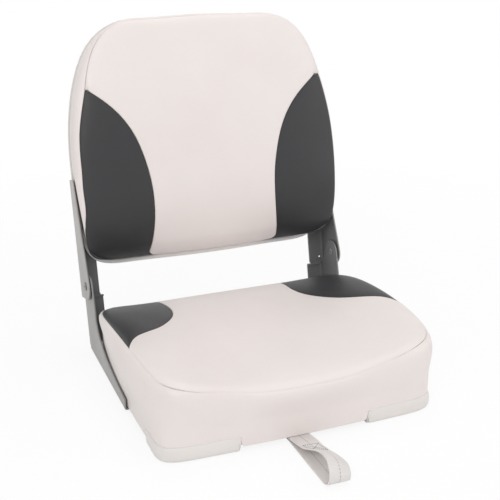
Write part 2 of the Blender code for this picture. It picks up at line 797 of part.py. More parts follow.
def seat_pan():
    """Injection-moulded tray: skirt, ribs and feet below, and a mounting pad sunk in its middle."""
    pan = cushion_core("seat_pan", seat_cage, -cover_clearance, white_plastic)
    boolean(pan, box_cutter("pan_slab", [slab(HEM_HEIGHT, PAN_TOP)]), "INTERSECT")

    bm = bmesh.new()
    add_box(bm, (-PAD_HALF, -PAD_HALF, 0), (PAD_HALF, PAD_HALF, PAN_TOP - PAN_SHEET / 2))
    boolean(pan, add_mesh("pad_block", bm), "UNION")

    reach_x = pan_width / 2
    middle_x = (PAD_HALF + reach_x) / 2
    middle_front = (PAD_HALF + PAN_FRONT) / 2
    middle_rear = (PAD_HALF + PAN_REAR) / 2
    third = PAD_HALF / 3
    lines = [-PAD_HALF + RIB / 2, -third, third, PAD_HALF - RIB / 2]
    tub = box_cutter("pad_pockets", cells(lines, lines, PAD_PLATE, PAN_TOP + OVERRUN, RIB))
    boolean(pan, tub, "DIFFERENCE")

    xs = [-reach_x, -middle_x, -PAD_HALF, -third, third, PAD_HALF, middle_x, reach_x]
    ys = [-PAN_FRONT, -middle_front, -PAD_HALF, -third, third, PAD_HALF, middle_rear, PAN_REAR]
    roof = PAN_TOP - PAN_SHEET
    below = cells(xs, ys, -OVERRUN, roof, RIB)
    pockets = box_cutter("pan_pockets", [box for box in below if not over_pad(box)])
    bays = box_cutter("pan_bays", open_bays(reach_x, roof - RIB_DROP))
    inner = cushion_core("pan_inside", seat_cage, -cover_clearance - PAN_WALL)
    wider = cushion_core("pan_bay_inside", seat_cage, FIT - cover_clearance - PAN_WALL)
    for cutter, room in ((pockets, inner), (bays, wider)):
        boolean(cutter, room, "INTERSECT")
        boolean(pan, cutter, "DIFFERENCE")

    bm = bmesh.new()
    depth = PAN_TOP - PAN_SHEET / 2 - boss_foot
    for side in (-1, 1):
        for x, y in base_screws(side):
            add_cylinder(bm, (x, y, boss_foot + depth / 2), BOSS_RADIUS, depth, (0, 0, 1))
    anchor_depth = PAN_TOP - PAN_SHEET / 2 - ANCHOR_BOSS_HEIGHT
    anchor = (-STRAP_ASIDE, -STRAP_ANCHOR, ANCHOR_BOSS_HEIGHT + anchor_depth / 2)
    add_cylinder(bm, anchor, ANCHOR_BOSS_RADIUS, anchor_depth, (0, 0, 1))
    boolean(pan, add_mesh("pan_bosses", bm), "UNION")

    feet = cushion_core("feet", seat_cage, FOOT_PROUD, levels=2)
    boolean(feet, box_cutter("feet_boxes", foot_boxes(0, FOOT_HEIGHT)), "INTERSECT")
    boolean(feet, cushion_core("feet_inside", seat_cage, -FOOT_DEPTH), "DIFFERENCE")
    boolean(pan, feet, "UNION")

    bm = bmesh.new()
    for side in (-1, 1):
        for x, y in base_screws(side):
            add_cylinder(bm, (x, y, boss_foot), SCREW_RADIUS + FIT, 2 * SCREW_LENGTH, (0, 0, 1))
    add_cylinder(bm, (-STRAP_ASIDE, -STRAP_ANCHOR, ANCHOR_BOSS_HEIGHT), SCREW_RADIUS + FIT,
                 2 * SCREW_LENGTH, (0, 0, 1))
    for x, y in insert_places():
        add_cylinder(bm, (x, y, 0), INSERT_RADIUS + FIT, 2 * PAD_PLATE + OVERRUN, (0, 0, 1))
    boolean(pan, add_mesh("pan_bores", bm), "DIFFERENCE")
    return pan


def open_bays(reach, high):
    """The four deep spaces under the pan, between the pad, its four webs and the skirt."""
    beside, between = PAD_HALF + RIB / 2 - FIT, PAD_HALF - RIB / 2 + FIT
    return [
        ((-reach, -PAN_FRONT, -OVERRUN), (-beside, PAN_REAR, high)),
        ((beside, -PAN_FRONT, -OVERRUN), (reach, PAN_REAR, high)),
        ((-between, -PAN_FRONT, -OVERRUN), (between, -beside, high)),
        ((-between, beside, -OVERRUN), (between, PAN_REAR, high)),
    ]


def over_pad(box):
    low, high = box
    return max(abs(low[0] + high[0]), abs(low[1] + high[1])) / 2 < PAD_HALF


def slab(low, high):
    """A box that takes in all the seat between two heights."""
    reach = SEAT_WIDTH / 2 + OVERRUN
    length = SEAT_FRONT + OVERRUN
    return (-reach, -length, low), (reach, length, high)


def foot_boxes(low, high, grow=0):
    """Boxes round the places of the four feet, at the front corners and along the rear edge."""
    reach = SEAT_WIDTH / 2 + OVERRUN
    inside = FOOT_INSIDE - grow
    front = -SEAT_FRONT - OVERRUN
    rear = SEAT_REAR + OVERRUN
    boxes = []
    for side in (-1, 1):
        xs = sorted((side * inside, side * reach))
        side_end = -SEAT_FRONT + FOOT_SIDE + grow
        boxes.append(((xs[0], front, low), (xs[1], side_end, high)))
        xs = sorted((side * inside, side * (pan_width / 2 - FOOT_REAR_INSET + grow)))
        boxes.append(((xs[0], PAN_REAR - FOOT_DEPTH - grow, low), (xs[1], rear, high)))
    return boxes


def seat_cushion():
    """Foam block and its sewn vinyl cover: side panel, top panel and two accent panels."""
    foam = cushion_core("seat_foam", seat_cage, -cover_clearance, foam_block)
    boolean(foam, box_cutter("foam_slab", [slab(PAN_TOP + FIT, SEAT_HEIGHT + OVERRUN)]), "INTERSECT")
    merge_flat(foam)

    half_gap = SEWN_GAP / 2
    hem = box_cutter("hem_slab", [slab(HEM_HEIGHT, SEAT_HEIGHT + OVERRUN)])
    over_seam = seat_seam_cutter("seat_seam_top", half_gap, SEAT_HEIGHT)
    under_seam = seat_seam_cutter("seat_seam_side", -half_gap, -2 * SEAT_HEIGHT)
    feet = box_cutter("cover_feet", foot_boxes(-OVERRUN, FOOT_HEIGHT + FIT, FIT))

    boxing = cover_panel("seat_cover_side", seat_cage, white_vinyl)
    boolean(boxing, hem, "INTERSECT")
    boolean(boxing, under_seam, "INTERSECT")
    boolean(boxing, feet, "DIFFERENCE")
    merge_flat(boxing)

    top = cover_panel("seat_cover_top", seat_cage, white_vinyl)
    boolean(top, over_seam, "INTERSECT")

    def at_depth(point, _):
        return Vector((point.x, point.y, SEAT_BULGE_HEIGHT / 2))

    up = Vector((0, 0, SEAT_HEIGHT))
    outside = SEAT_WIDTH / 2 + OVERRUN
    for side, word in ((-1, "left"), (1, "right")):
        shares = (seat_accent_width_shares, seat_accent_row_shares)
        plan = (pan_width / 2, -PAN_FRONT, pan_depth)
        inner = accent_cutter("seat_accent_in_" + word, accent_edge(*shares, *plan, 0),
                              outside, at_depth, side, up)
        outer = accent_cutter("seat_accent_out_" + word, accent_edge(*shares, *plan, SEWN_GAP),
                              outside, at_depth, side, up)
        boolean(top, outer, "DIFFERENCE")
        accent = cover_panel("seat_accent_" + word, seat_cage, charcoal_vinyl)
        boolean(accent, over_seam, "INTERSECT")
        boolean(accent, inner, "INTERSECT")
        merge_flat(accent)
    merge_flat(top)


# Back pieces


def back_slab(near, far):
    """A box that takes in all the back between two depths from its rear."""
    reach = back_width / 2 + OVERRUN
    low = (-reach, SHELL_BEHIND_PIVOT - far, -OVERRUN)
    high = (reach, SHELL_BEHIND_PIVOT - near, BACK_TOP + OVERRUN)
    return low, high


def back_shell():
    """Moulded back: a lipped rear panel, and a shallow ribbed tray in front that holds the foam."""
    shell = cushion_core("back_shell", back_cage, SHELL_LIP, white_plastic, back_fold, levels=2)
    boolean(shell, box_cutter("shell_slab", [back_slab(0, SHELL_PLATE)], back_fold), "INTERSECT")
    tray = cushion_core("shell_tray", back_cage, -cover_clearance, parent=back_fold)
    boolean(tray, box_cutter("tray_slab", [back_slab(SHELL_PLATE / 2, SHELL_TRAY)], back_fold),
            "INTERSECT")
    boolean(shell, tray, "UNION")

    half = back_tray_width / 2
    screw_line = upper_plate_outside - BACK_SCREW_INSET
    inner_line = screw_line - BOSS_RADIUS - RIB
    xs = [-half, -inner_line, -inner_line / 3, inner_line / 3, inner_line, half]
    zs = [BACK_FOOT + back_length * share / 6 for share in range(7)]
    boxes = []
    for x0, x1 in zip(xs, xs[1:]):
        for z0, z1 in zip(zs, zs[1:]):
            low = (x0 + RIB / 2, SHELL_BEHIND_PIVOT - SHELL_TRAY - OVERRUN, z0 + RIB / 2)
            high = (x1 - RIB / 2, SHELL_BEHIND_PIVOT - SHELL_PLATE, z1 - RIB / 2)
            boxes.append((low, high))
    pockets = box_cutter("shell_pockets", boxes, back_fold)
    inner = cushion_core("shell_inside", back_cage, -cover_clearance - SHELL_WALL, parent=back_fold)
    boolean(pockets, inner, "INTERSECT")
    boolean(shell, pockets, "DIFFERENCE")

    bm = bmesh.new()
    depth = SHELL_TRAY - SHELL_PLATE / 2
    for side in (-1, 1):
        for x, z in back_screws(side):
            centre = (x, SHELL_BEHIND_PIVOT - SHELL_TRAY + depth / 2, z)
            add_cylinder(bm, centre, BOSS_RADIUS, depth, (0, 1, 0))
    boolean(shell, add_mesh("shell_bosses", bm, parent=back_fold), "UNION")

    bm = bmesh.new()
    for side in (-1, 1):
        for x, z in back_screws(side):
            centre = (x, SHELL_BEHIND_PIVOT, z)
            add_cylinder(bm, centre, SCREW_RADIUS + FIT, 2 * SCREW_LENGTH, (0, 1, 0))
    boolean(shell, add_mesh("shell_bores", bm, parent=back_fold), "DIFFERENCE")

    boolean(shell, recess_cutter(inner_line), "DIFFERENCE")
    return shell


def recess_cutter(inner_line):
    """Shallow field in the rear panel with rounded corners, clear of the bracket flanges."""
    half = inner_line - BOSS_RADIUS - RIB
    low, high = BACK_FOOT + RECESS_MARGIN, BACK_TOP - RECESS_MARGIN
    outline = []
    for turn, (x, z) in enumerate(((1, 1), (-1, 1), (-1, -1), (1, -1))):
        centre = Vector((x * (half - RECESS_CORNER), (high if z > 0 else low) - z * RECESS_CORNER))
        start = turn * math.pi / 2
        outline += [centre + point for point in arc(RECESS_CORNER, start, start + math.pi / 2, 4)]
    bm = bmesh.new()
    verts = [bm.verts.new((p.x, SHELL_BEHIND_PIVOT - SHELL_RECESS, p.y)) for p in outline]
    face = bm.faces.new(verts)
    made = bmesh.ops.extrude_face_region(bm, geom=[face])["geom"]
    moved = [item for item in made if isinstance(item, bmesh.types.BMVert)]
    bmesh.ops.translate(bm, verts=moved, vec=(0, OVERRUN, 0))
    bmesh.ops.recalc_face_normals(bm, faces=bm.faces)
    return add_mesh("shell_recess", bm, parent=back_fold)


def back_cushion():
    """Foam block and its sewn vinyl cover: side panel, front panel and two accent panels."""
    foam = cushion_core("back_foam", back_cage, -cover_clearance, foam_block, back_fold)
    front = BACK_DEPTH + OVERRUN
    boolean(foam, box_cutter("back_foam_slab", [back_slab(SHELL_TRAY + FIT, front)], back_fold),
            "INTERSECT")
    merge_flat(foam)

    half_gap = SEWN_GAP / 2
    hem = box_cutter("back_hem_slab", [back_slab(SHELL_PLATE + FIT, front)], back_fold)
    behind = Vector((0, BACK_DEPTH + OVERRUN, 0))
    ahead = Vector((0, -BACK_DEPTH - OVERRUN, 0))
    under_seam = height_field("behind_back_seam", lambda p, q: back_sewn_edge(p, q, -half_gap),
                              2, 40, behind, back_fold)
    over_seam = height_field("ahead_back_seam", lambda p, q: back_sewn_edge(p, q, half_gap),
                             2, 40, ahead, back_fold)

    boxing = cover_panel("back_cover_side", back_cage, white_vinyl, back_fold)
    boolean(boxing, hem, "INTERSECT")
    boolean(boxing, under_seam, "INTERSECT")
    merge_flat(boxing)

    panel = cover_panel("back_cover_front", back_cage, white_vinyl, back_fold)
    boolean(panel, hem, "INTERSECT")
    boolean(panel, over_seam, "INTERSECT")

    def at_depth(point, _):
        return Vector((point.x, SHELL_BEHIND_PIVOT + OVERRUN / 2, point.y))

    outside = back_width / 2 + OVERRUN
    through = Vector((0, -BACK_DEPTH - OVERRUN, 0))
    for side, word in ((-1, "left"), (1, "right")):
        shares = (back_accent_width_shares, back_accent_row_shares)
        plan = (back_tray_width / 2, BACK_FOOT, back_length)
        inner = accent_cutter("back_accent_in_" + word, accent_edge(*shares, *plan, 0),
                              outside, at_depth, side, through, back_fold)
        outer = accent_cutter("back_accent_out_" + word, accent_edge(*shares, *plan, -SEWN_GAP),
                              outside, at_depth, side, through, back_fold)
        boolean(panel, outer, "DIFFERENCE")
        accent = cover_panel("back_accent_" + word, back_cage, charcoal_vinyl, back_fold)
        boolean(accent, hem, "INTERSECT")
        boolean(accent, over_seam, "INTERSECT")
        boolean(accent, inner, "INTERSECT")
        merge_flat(accent)
    merge_flat(panel)


# Strap


def strap_route():
    """Middle line of the webbing with its twist: from the screw out, round the nose and back."""
    out = list(zip(strap_out_shares, strap_rise_shares, strap_turn_shares))
    back = [(share, rise, 0) for share, rise in zip(strap_back_shares, strap_floor_shares)]
    layer = STRAP_THICKNESS + FIT
    top = ANCHOR_BOSS_HEIGHT - FIT - STRAP_THICKNESS / 2
    held = [STRAP_ANCHOR - STRAP_TAIL, STRAP_ANCHOR, STRAP_ANCHOR + STRAP_TAIL]
    points = [(ahead, top, 0) for ahead in held]
    points += [(share * STRAP_NOSE, rise * STRAP_CREST, turn) for share, rise, turn in out + back]
    points += [(ahead, top - layer, 0) for ahead in reversed(held)]
    return [Vector((turn * STRAP_SIDEWAYS - STRAP_ASIDE, -ahead, height, turn))
            for ahead, height, turn in points]


def hold_down_strap():
    """Flat webbing folded into a loop, both ends held under the pan by one screw."""
    stations = smooth_through(strap_route(), 2)
    bm = bmesh.new()
    bmesh.ops.create_grid(bm, x_segments=1, y_segments=len(stations) - 1, size=1)
    for vert in bm.verts:
        index = round((vert.co.y + 1) / 2 * (len(stations) - 1))
        before = stations[max(index - 1, 0)]
        after = stations[min(index + 1, len(stations) - 1)]
        run = (after - before).to_3d()
        run.x = 0
        turn = Matrix.Rotation(-stations[index].w * STRAP_TWIST, 3, run)
        across = turn @ Vector((1, 0, 0))
        vert.co = stations[index].to_3d() + across * vert.co.x * STRAP_WIDTH / 2
    strap = add_mesh("hold_down_strap", bm, webbing)
    wall = strap.modifiers.new("thickness", "SOLIDIFY")
    wall.thickness = STRAP_THICKNESS
    wall.offset = 0
    hole = bore_cutter("strap_hole", [Vector((-STRAP_ASIDE, -STRAP_ANCHOR, ANCHOR_BOSS_HEIGHT))],
                       SCREW_RADIUS + FIT, OVERRUN, (0, 0, 1))
    boolean(strap, hole, "DIFFERENCE")
    bearing = ANCHOR_BOSS_HEIGHT - 2 * STRAP_THICKNESS - 3 * FIT - ANCHOR_WASHER
    place = (-STRAP_ASIDE, -STRAP_ANCHOR, bearing)
    flat_washer("strap_washer", SCREW_RADIUS + FIT, ANCHOR_WASHER_RADIUS, ANCHOR_WASHER, zinc,
                place, (0, 0, 0))
    tapping_screw("strap_screw", Vector(place) - Vector((0, 0, FIT)), (math.pi, 0, 0))


# The scene


clear_scene()
seat_parts = new_collection("folding_boat_seat")
cutters = new_collection("cutters")

white_vinyl = finish("white_vinyl", (0.78, 0.72, 0.70), 0.42)
charcoal_vinyl = finish("charcoal_vinyl", (0.060, 0.060, 0.063), 0.42)
foam_block = finish("foam", (0.80, 0.74, 0.52), 0.95)
white_plastic = finish("white_plastic", (0.72, 0.71, 0.69), 0.5)
painted_sheet = finish("painted_sheet", (0.42, 0.41, 0.39), 0.45, 0.3)
zinc = finish("zinc", (0.55, 0.55, 0.54), 0.35, 1.0)
brass = finish("brass", (0.60, 0.45, 0.20), 0.35, 1.0)
nylon = finish("nylon", (0.55, 0.54, 0.50), 0.5)
webbing = finish("webbing", (0.74, 0.70, 0.68), 0.8)

seat_pivot = bpy.data.objects.new("seat_pivot", None)
seat_pivot.location = (0, PIVOT_BACK, PIVOT_HEIGHT)
seat_parts.objects.link(seat_pivot)
back_fold = bpy.data.objects.new("back_fold", None)
back_fold.location = (0, PIVOT_BACK, PIVOT_HEIGHT)
back_fold.rotation_euler = (-RECLINE, 0, 0)
seat_parts.objects.link(back_fold)

seat_cage = (seat_top, seat_rings, 6, 6)
back_cage = (back_face, back_rings, 6, 6)

seat_pan()
seat_cushion()
back_shell()
back_cushion()
hold_down_strap()

for side, word in ((-1, "left"), (1, "right")):
    lower_bracket(side, "seat_bracket_" + word)
    upper_bracket(side, "back_bracket_" + word)
    pivot_rivet("pivot_rivet_" + word, side)
    flat_washer("pivot_washer_" + word, RIVET_RADIUS + FIT, WASHER_RADIUS, WASHER, nylon,
                (side * (lower_plate_outside + FIT), PIVOT_BACK, PIVOT_HEIGHT),
                (0, side * math.pi / 2, 0))
    for number, (x, y) in enumerate(base_screws(side), 1):
        tapping_screw(f"pan_screw_{word}_{number}", (x, y, base_flange_foot - FIT), (math.pi, 0, 0))
    for number, (x, z) in enumerate(back_screws(side), 1):
        tapping_screw(f"shell_screw_{word}_{number}", (x, flange_rear + FIT, z),
                      (-math.pi / 2, 0, 0), back_fold)

for place, word in zip(insert_places(), ("front_left", "rear_left", "front_right", "rear_right")):
    mount_insert("mount_insert_" + word, place)
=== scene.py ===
import itertools
import math

import bmesh
import bpy
from mathutils import Matrix, Vector
from mathutils.kdtree import KDTree


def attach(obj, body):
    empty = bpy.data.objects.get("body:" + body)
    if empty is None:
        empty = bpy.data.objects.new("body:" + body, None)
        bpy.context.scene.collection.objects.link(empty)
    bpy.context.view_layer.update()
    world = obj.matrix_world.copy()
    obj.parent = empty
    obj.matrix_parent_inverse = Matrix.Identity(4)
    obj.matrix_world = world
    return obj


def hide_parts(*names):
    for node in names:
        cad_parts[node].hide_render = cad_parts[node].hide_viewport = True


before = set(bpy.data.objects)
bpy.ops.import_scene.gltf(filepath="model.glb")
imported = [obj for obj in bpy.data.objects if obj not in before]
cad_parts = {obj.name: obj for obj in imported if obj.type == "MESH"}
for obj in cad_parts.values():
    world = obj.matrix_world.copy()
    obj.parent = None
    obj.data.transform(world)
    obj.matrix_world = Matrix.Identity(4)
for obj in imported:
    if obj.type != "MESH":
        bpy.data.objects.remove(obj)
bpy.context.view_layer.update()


# ----------
# The studio. A white sweep under flat, soft light, with the camera a little above the seat and
# to its left, at the distance that the photograph's perspective gives.

studio = bpy.data.collections.new("studio")
bpy.context.scene.collection.children.link(studio)
bpy.context.scene.view_settings.view_transform = "Standard"

CAMERA_PLACE = Vector((-0.46293, -1.13707, 0.65078))
CAMERA_AZIMUTH = math.radians(-21.803)
CAMERA_ELEVATION = math.radians(20.319)
toward_camera = Vector((math.sin(CAMERA_AZIMUTH) * math.cos(CAMERA_ELEVATION),
                        -math.cos(CAMERA_AZIMUTH) * math.cos(CAMERA_ELEVATION),
                        math.sin(CAMERA_ELEVATION)))
rightward = Vector((math.cos(CAMERA_AZIMUTH), math.sin(CAMERA_AZIMUTH), 0))
turn = Matrix((rightward, toward_camera.cross(rightward), toward_camera)).transposed()

lens = bpy.data.cameras.new("photo_camera")
lens.sensor_width = 36
lens.lens = 69.12
camera = bpy.data.objects.new("photo_camera", lens)
camera.matrix_world = Matrix.LocRotScale(CAMERA_PLACE, turn, None)
studio.objects.link(camera)
bpy.context.scene.camera = camera


class Value:
    """A socket in a node tree; sums and products on it add Math nodes."""

    def __init__(self, nodes, socket):
        self.nodes = nodes
        self.socket = socket

    def maths(self, operation, first, second=0):
        return self.nodes.node("Math", {"operation": operation}, {0: first, 1: second})

    def __add__(self, other):
        return self.maths("ADD", self, other)

    def __sub__(self, other):
        return self.maths("SUBTRACT", self, other)

    def __rsub__(self, other):
        return self.maths("SUBTRACT", other, self)

    def __mul__(self, other):
        return self.maths("MULTIPLY", self, other)

    def above(self, edge):
        return self.maths("GREATER_THAN", self, edge)

    def through(self, operation):
        return self.maths(operation, self)

    __radd__ = __add__


class Nodes:
    """A node tree, to which nodes are added by calls."""

    def __init__(self, tree):
        self.tree = tree

    def node(self, kind, settings, sockets, output=0):
        """Adds a node with these settings and inputs, and gives one of its outputs."""
        added = self.tree.nodes.new("ShaderNode" + kind)
        for key, value in settings.items():
            setattr(added, key, value)
        for key, value in sockets.items():
            if isinstance(value, Value):
                self.tree.links.new(value.socket, added.inputs[key])
            else:
                added.inputs[key].default_value = value
        return Value(self, added.outputs[output])

    def shown(self):
        """1 for rays that show a surface to the camera, 0 for rays that carry its light on."""
        share = self.node("LightPath", {}, {}, "Is Camera Ray")
        rays = share.socket.node.outputs
        for word in ("Is Glossy Ray", "Is Transmission Ray"):
            share = share.maths("MAXIMUM", share, Value(self, rays[word]))
        return share

    def surface(self, end, share, shader, other):
        """Ends the tree in a mix of its own shader with this share of another."""
        mixed = self.node("MixShader", {}, {0: share, 1: Value(self, shader), 2: other})
        self.tree.links.new(mixed.socket, self.tree.nodes[end].inputs["Surface"])

    def axes(self, vector):
        """The three parts of a vector."""
        split = self.node("SeparateXYZ", {}, {0: vector})
        return [Value(self, part) for part in split.socket.node.outputs]


class Finish(Nodes):
    """A material, built node by node on its Principled shader."""

    def __init__(self, name, colour, roughness, metallic=0.0, specular=0.5):
        self.material = bpy.data.materials.new(name)
        self.material.use_nodes = True
        super().__init__(self.material.node_tree)
        self.shader = self.tree.nodes["Principled BSDF"]
        self.colour = (*colour, 1)
        for key, value in (("Base Color", self.colour), ("Roughness", roughness),
                           ("Metallic", metallic), ("Specular IOR Level", specular)):
            self.shader.inputs[key].default_value = value
        self.material.diffuse_color = self.colour
        self.place = self.node("TexCoord", {}, {}, "Object")

    def noise(self, scale, detail, roughness=0.5):
        return self.node("TexNoise", {}, {"Vector": self.place, "Scale": scale,
                                                    "Detail": detail, "Roughness": roughness})

    def blend(self, share, first, second):
        """A mix of two colours by a share from 0 to 1."""
        settings = {"data_type": "RGBA", "clamp_factor": True}
        return self.node("Mix", settings, {0: share, 6: first, 7: second}, 2)

    def ramp(self, value, low, high):
        """The value stretched so that low gives 0 and high gives 1, and no further."""
        settings = {"clamp": True}
        return self.node("MapRange", settings, {0: value, 1: low, 2: high})

    def feed(self, **inputs):
        """Links values to the shader's own sockets, written with _ for each space."""
        for key, value in inputs.items():
            self.tree.links.new(value.socket, self.shader.inputs[key.replace("_", " ")])

    def relief(self, height, depth, strength):
        """Bump of this depth in metres on the shader's normal."""
        self.feed(Normal=self.node("Bump", {}, {"Height": height, "Distance": depth,
                                                          "Strength": strength}, "Normal"))


def built(name, bm, group, material=None):
    """The object that a bmesh becomes, in this collection and smooth if it gets a material."""
    mesh = bpy.data.meshes.new(name)
    bm.to_mesh(mesh)
    bm.free()
    if material:
        mesh.shade_smooth()
        mesh.materials.append(material)
    obj = bpy.data.objects.new(name, mesh)
    group.objects.link(obj)
    return obj


FLOOR_GAP = 0.0004
NEAR_GLOW = 0.86
GLOW_START = 0.45
GLOW_FULL = 1.3

bm = bmesh.new()
bmesh.ops.create_grid(bm, x_segments=1, y_segments=1, size=4)
bmesh.ops.translate(bm, verts=bm.verts, vec=(0, 0, -FLOOR_GAP))
sweep = built("sweep", bm, studio)

# The paper takes the seat's shadows and gives the rest of its brightness off itself.
paper = Finish("white_paper", (0.95, 0.95, 0.95), 0.9, specular=0.1)
glow = paper.node("Emission", {}, {"Color": (1, 1, 1, 1), "Strength": 1.0})
away = paper.node("VectorMath", {"operation": "LENGTH"}, {0: paper.place}, "Value")
share = paper.shown() * (paper.ramp(away, GLOW_START, GLOW_FULL) * (1 - NEAR_GLOW) + NEAR_GLOW)
paper.surface("Material Output", share, paper.shader.outputs[0], glow)
sweep.data.materials.append(paper.material)

# The camera sees white air, and the seat is lit by a dimmer, slightly warm one.
world = bpy.data.worlds.new("studio_air")
world.use_nodes = True
bpy.context.scene.world = world
air = Nodes(world.node_tree)
room = air.tree.nodes["Background"]
room.inputs["Color"].default_value = (1.0, 0.99, 0.985, 1)
room.inputs["Strength"].default_value = 0.56
white = air.node("Background", {}, {"Color": (1, 1, 1, 1), "Strength": 1.0})
air.surface("World Output", air.shown(), room.outputs[0], white)


def softbox(name, place, size, power):
    """A square lamp that faces the middle of the seat."""
    lamp = bpy.data.lights.new(name, "AREA")
    lamp.size = size
    lamp.energy = power
    obj = bpy.data.objects.new(name, lamp)
    aim = (Vector((0, 0, 0.2)) - Vector(place)).to_track_quat("-Z", "Y")
    obj.matrix_world = Matrix.LocRotScale(Vector(place), aim, None)
    studio.objects.link(obj)


softbox("key_light", (-1.5, -2.2, 1.9), 1.6, 28)
softbox("fill_light", (2.2, -1.6, 1.3), 1.8, 15)
softbox("top_light", (0.2, 0.4, 2.6), 1.8, 17)


# ----------
# Pan and rear shell. Injection-moulded polypropylene, off-white, with the faint pebble that
# is etched into the mould and a slightly duller gloss than the vinyl.


def dress(material, *nodes):
    """Puts a finish on plain solids."""
    for node in nodes:
        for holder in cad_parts[node].material_slots:
            holder.material = material


def moulded(name, colour, shade):
    finish = Finish(name, colour, 0.48, specular=0.45)
    pebble = finish.noise(1100, 3, 0.6)
    flow = finish.noise(14, 3, 0.5)
    scuff = finish.ramp(finish.noise(70, 6, 0.7), 0.62, 0.74)
    finish.feed(Base_Color=finish.blend(finish.ramp(flow, 0.3, 0.7) * 0.5 + scuff * 0.3,
                                        finish.colour, (*shade, 1)),
                Roughness=flow * 0.12 + scuff * 0.12 + 0.40)
    finish.relief(pebble, 0.00007, 0.6)
    return finish.material


shell_plastic = moulded("moulded_shell", (0.78, 0.75, 0.725), (0.73, 0.70, 0.675))
dress(shell_plastic, "seat_pan", "back_shell")
dress(moulded("nylon_washer", (0.60, 0.585, 0.55), (0.50, 0.485, 0.45)),
      "pivot_washer_left", "pivot_washer_right")


# ----------
# Vinyl. Expanded marine vinyl on a knitted backing, embossed with a fine leather grain: white,
# a little pink under studio light, for the panels, and charcoal for the corner panels.


def vinyl(name, colour, darker_tone, roughness, specular):
    finish = Finish(name, colour, roughness, specular=specular)
    warp = finish.noise(160, 2) * 0.0016
    moved = finish.node("VectorMath", {"operation": "ADD"}, {0: finish.place, 1: warp})
    grain = finish.node("TexVoronoi", {"feature": "DISTANCE_TO_EDGE"},
                        {"Vector": moved, "Scale": 720.0})
    valley = 1 - finish.ramp(grain, 0.0, 0.22)
    cloud = finish.noise(9, 3, 0.55)
    fine = finish.noise(900, 2)
    seam = finish.node("Attribute", {"attribute_name": "seam"}, {}, "Fac")
    # The tone is darker at random, in the grain's valleys, and within a few millimetres of each
    # seam.
    tone = finish.ramp(cloud, 0.3, 0.7) * 0.35 + valley * 0.25 + seam * 0.35
    sheen = finish.ramp(cloud, 0.25, 0.75) * 0.07 + valley * 0.08
    finish.feed(Base_Color=finish.blend(tone, finish.colour, (*darker_tone, 1)),
                Roughness=sheen + (roughness - 0.05))
    finish.relief(fine * 0.3 - valley + cloud * 0.4, 0.00009, 0.55)
    return finish.material


vinyls = {name: vinyl(name, *values) for name, *values in (
    ("white_vinyl", (0.835, 0.775, 0.755), (0.755, 0.690, 0.665), 0.40, 0.5),
    ("charcoal_vinyl", (0.033, 0.033, 0.036), (0.022, 0.022, 0.024), 0.42, 0.4))}


# ----------
# Foam. Yellowish open-cell foam, cut in blocks. It shows nowhere on the finished seat; the
# covers lie on it and take their swelling from it.

yellow_foam = Finish("cushion_foam", (0.80, 0.72, 0.50), 0.95, specular=0.2)
pores = yellow_foam.node("TexVoronoi", {}, {"Vector": yellow_foam.place, "Scale": 420.0})
yellow_foam.feed(Base_Color=yellow_foam.blend(pores, (0.84, 0.77, 0.56, 1), (0.66, 0.56, 0.34, 1)))
yellow_foam.relief(pores, 0.0006, 0.7)
foam = yellow_foam.material


# ----------
# Seat cushion. A foam block on the pan in a cover sewn from four panels: one round the sides,
# one on top, and a charcoal one at each rear corner. The seams pull it in, and the foam
# swells between them; the side panel ends in a hem below the edge of the pan.

seat = bpy.data.collections.new("dressed_seat")
bpy.context.scene.collection.children.link(seat)

SEAT_WIDTH = 0.413
SEAM_WIDTH = 0.410
PAN_WIDTH = 0.388
SEAT_HEIGHT = 0.112
BULGE_HEIGHT = 0.060
WALL_TOP = 0.042
HEM_HEIGHT = 0.006
HEM_OVER_FOOT = 0.0203
SEAM_FRONT = 0.191
SEAM_REAR = 0.153
BULGE_FRONT = 0.184
BULGE_REAR = 0.175
PAN_REACH = 0.1735
FRONT_BOW = 0.009
REAR_BOW = 0.0075
CORNER_BOW = 0.004
BOLSTER_PLACE = 0.6667
CAGE_BEYOND = 0.06
SKIN = 0.0012
FOAM_CLEARANCE = 0.0042

seat_rows = (0, 0.12, 0.30, 0.50, 0.68, 0.85, 1)
hem_widths = (0.995, 0.985, 0.99, 1, 1, 1, 0.95)
bulge_widths = (0.86, 0.975, 1, 0.985, 0.955, 0.92, 0.89)
seam_widths = (0.88, 0.985, 1.02, 1.04, 1.05, 1.045, 0.91)
side_heights = (1.03, 1.08, 1.14, 1.11, 1.04, 0.92, 0.77)
bolster_heights = (0.865, 0.89, 0.92, 0.915, 0.875, 0.805, 0.715)
centre_heights = (0.74, 0.80, 0.83, 0.835, 0.82, 0.78, 0.705)
front_heights = (0.755, 0.73, 0.93, 0.95)


def clamped(value):
    return min(max(value, 0), 1)


def along(table, share):
    """The value at this share of the way through a table, straight between its entries."""
    place = clamped(share) * (len(table) - 1)
    index = min(int(place), len(table) - 2)
    return table[index] + (table[index + 1] - table[index]) * (place - index)


def between(places, values, place):
    """The value at this place, straight between the places that have one."""
    for low, high, first, last in zip(places, places[1:], values, values[1:]):
        if place <= high:
            return first + (last - first) * clamped((place - low) / max(high - low, 1e-9))
    return values[-1]


def seat_point(p, q, widths, width, front, rear, height):
    """A point of the seat's cage: p runs across it and q from front to rear, both -1 to 1."""
    row = (q + 1) / 2
    out = -front + (front + rear) * along(seat_rows, row)
    if q == -1:
        out += FRONT_BOW * p**2 - CORNER_BOW * p**6
    if q == 1:
        out -= REAR_BOW * p**2 + CORNER_BOW * p**6
    return Vector((p * along(widths, row) * width / 2, out, height))


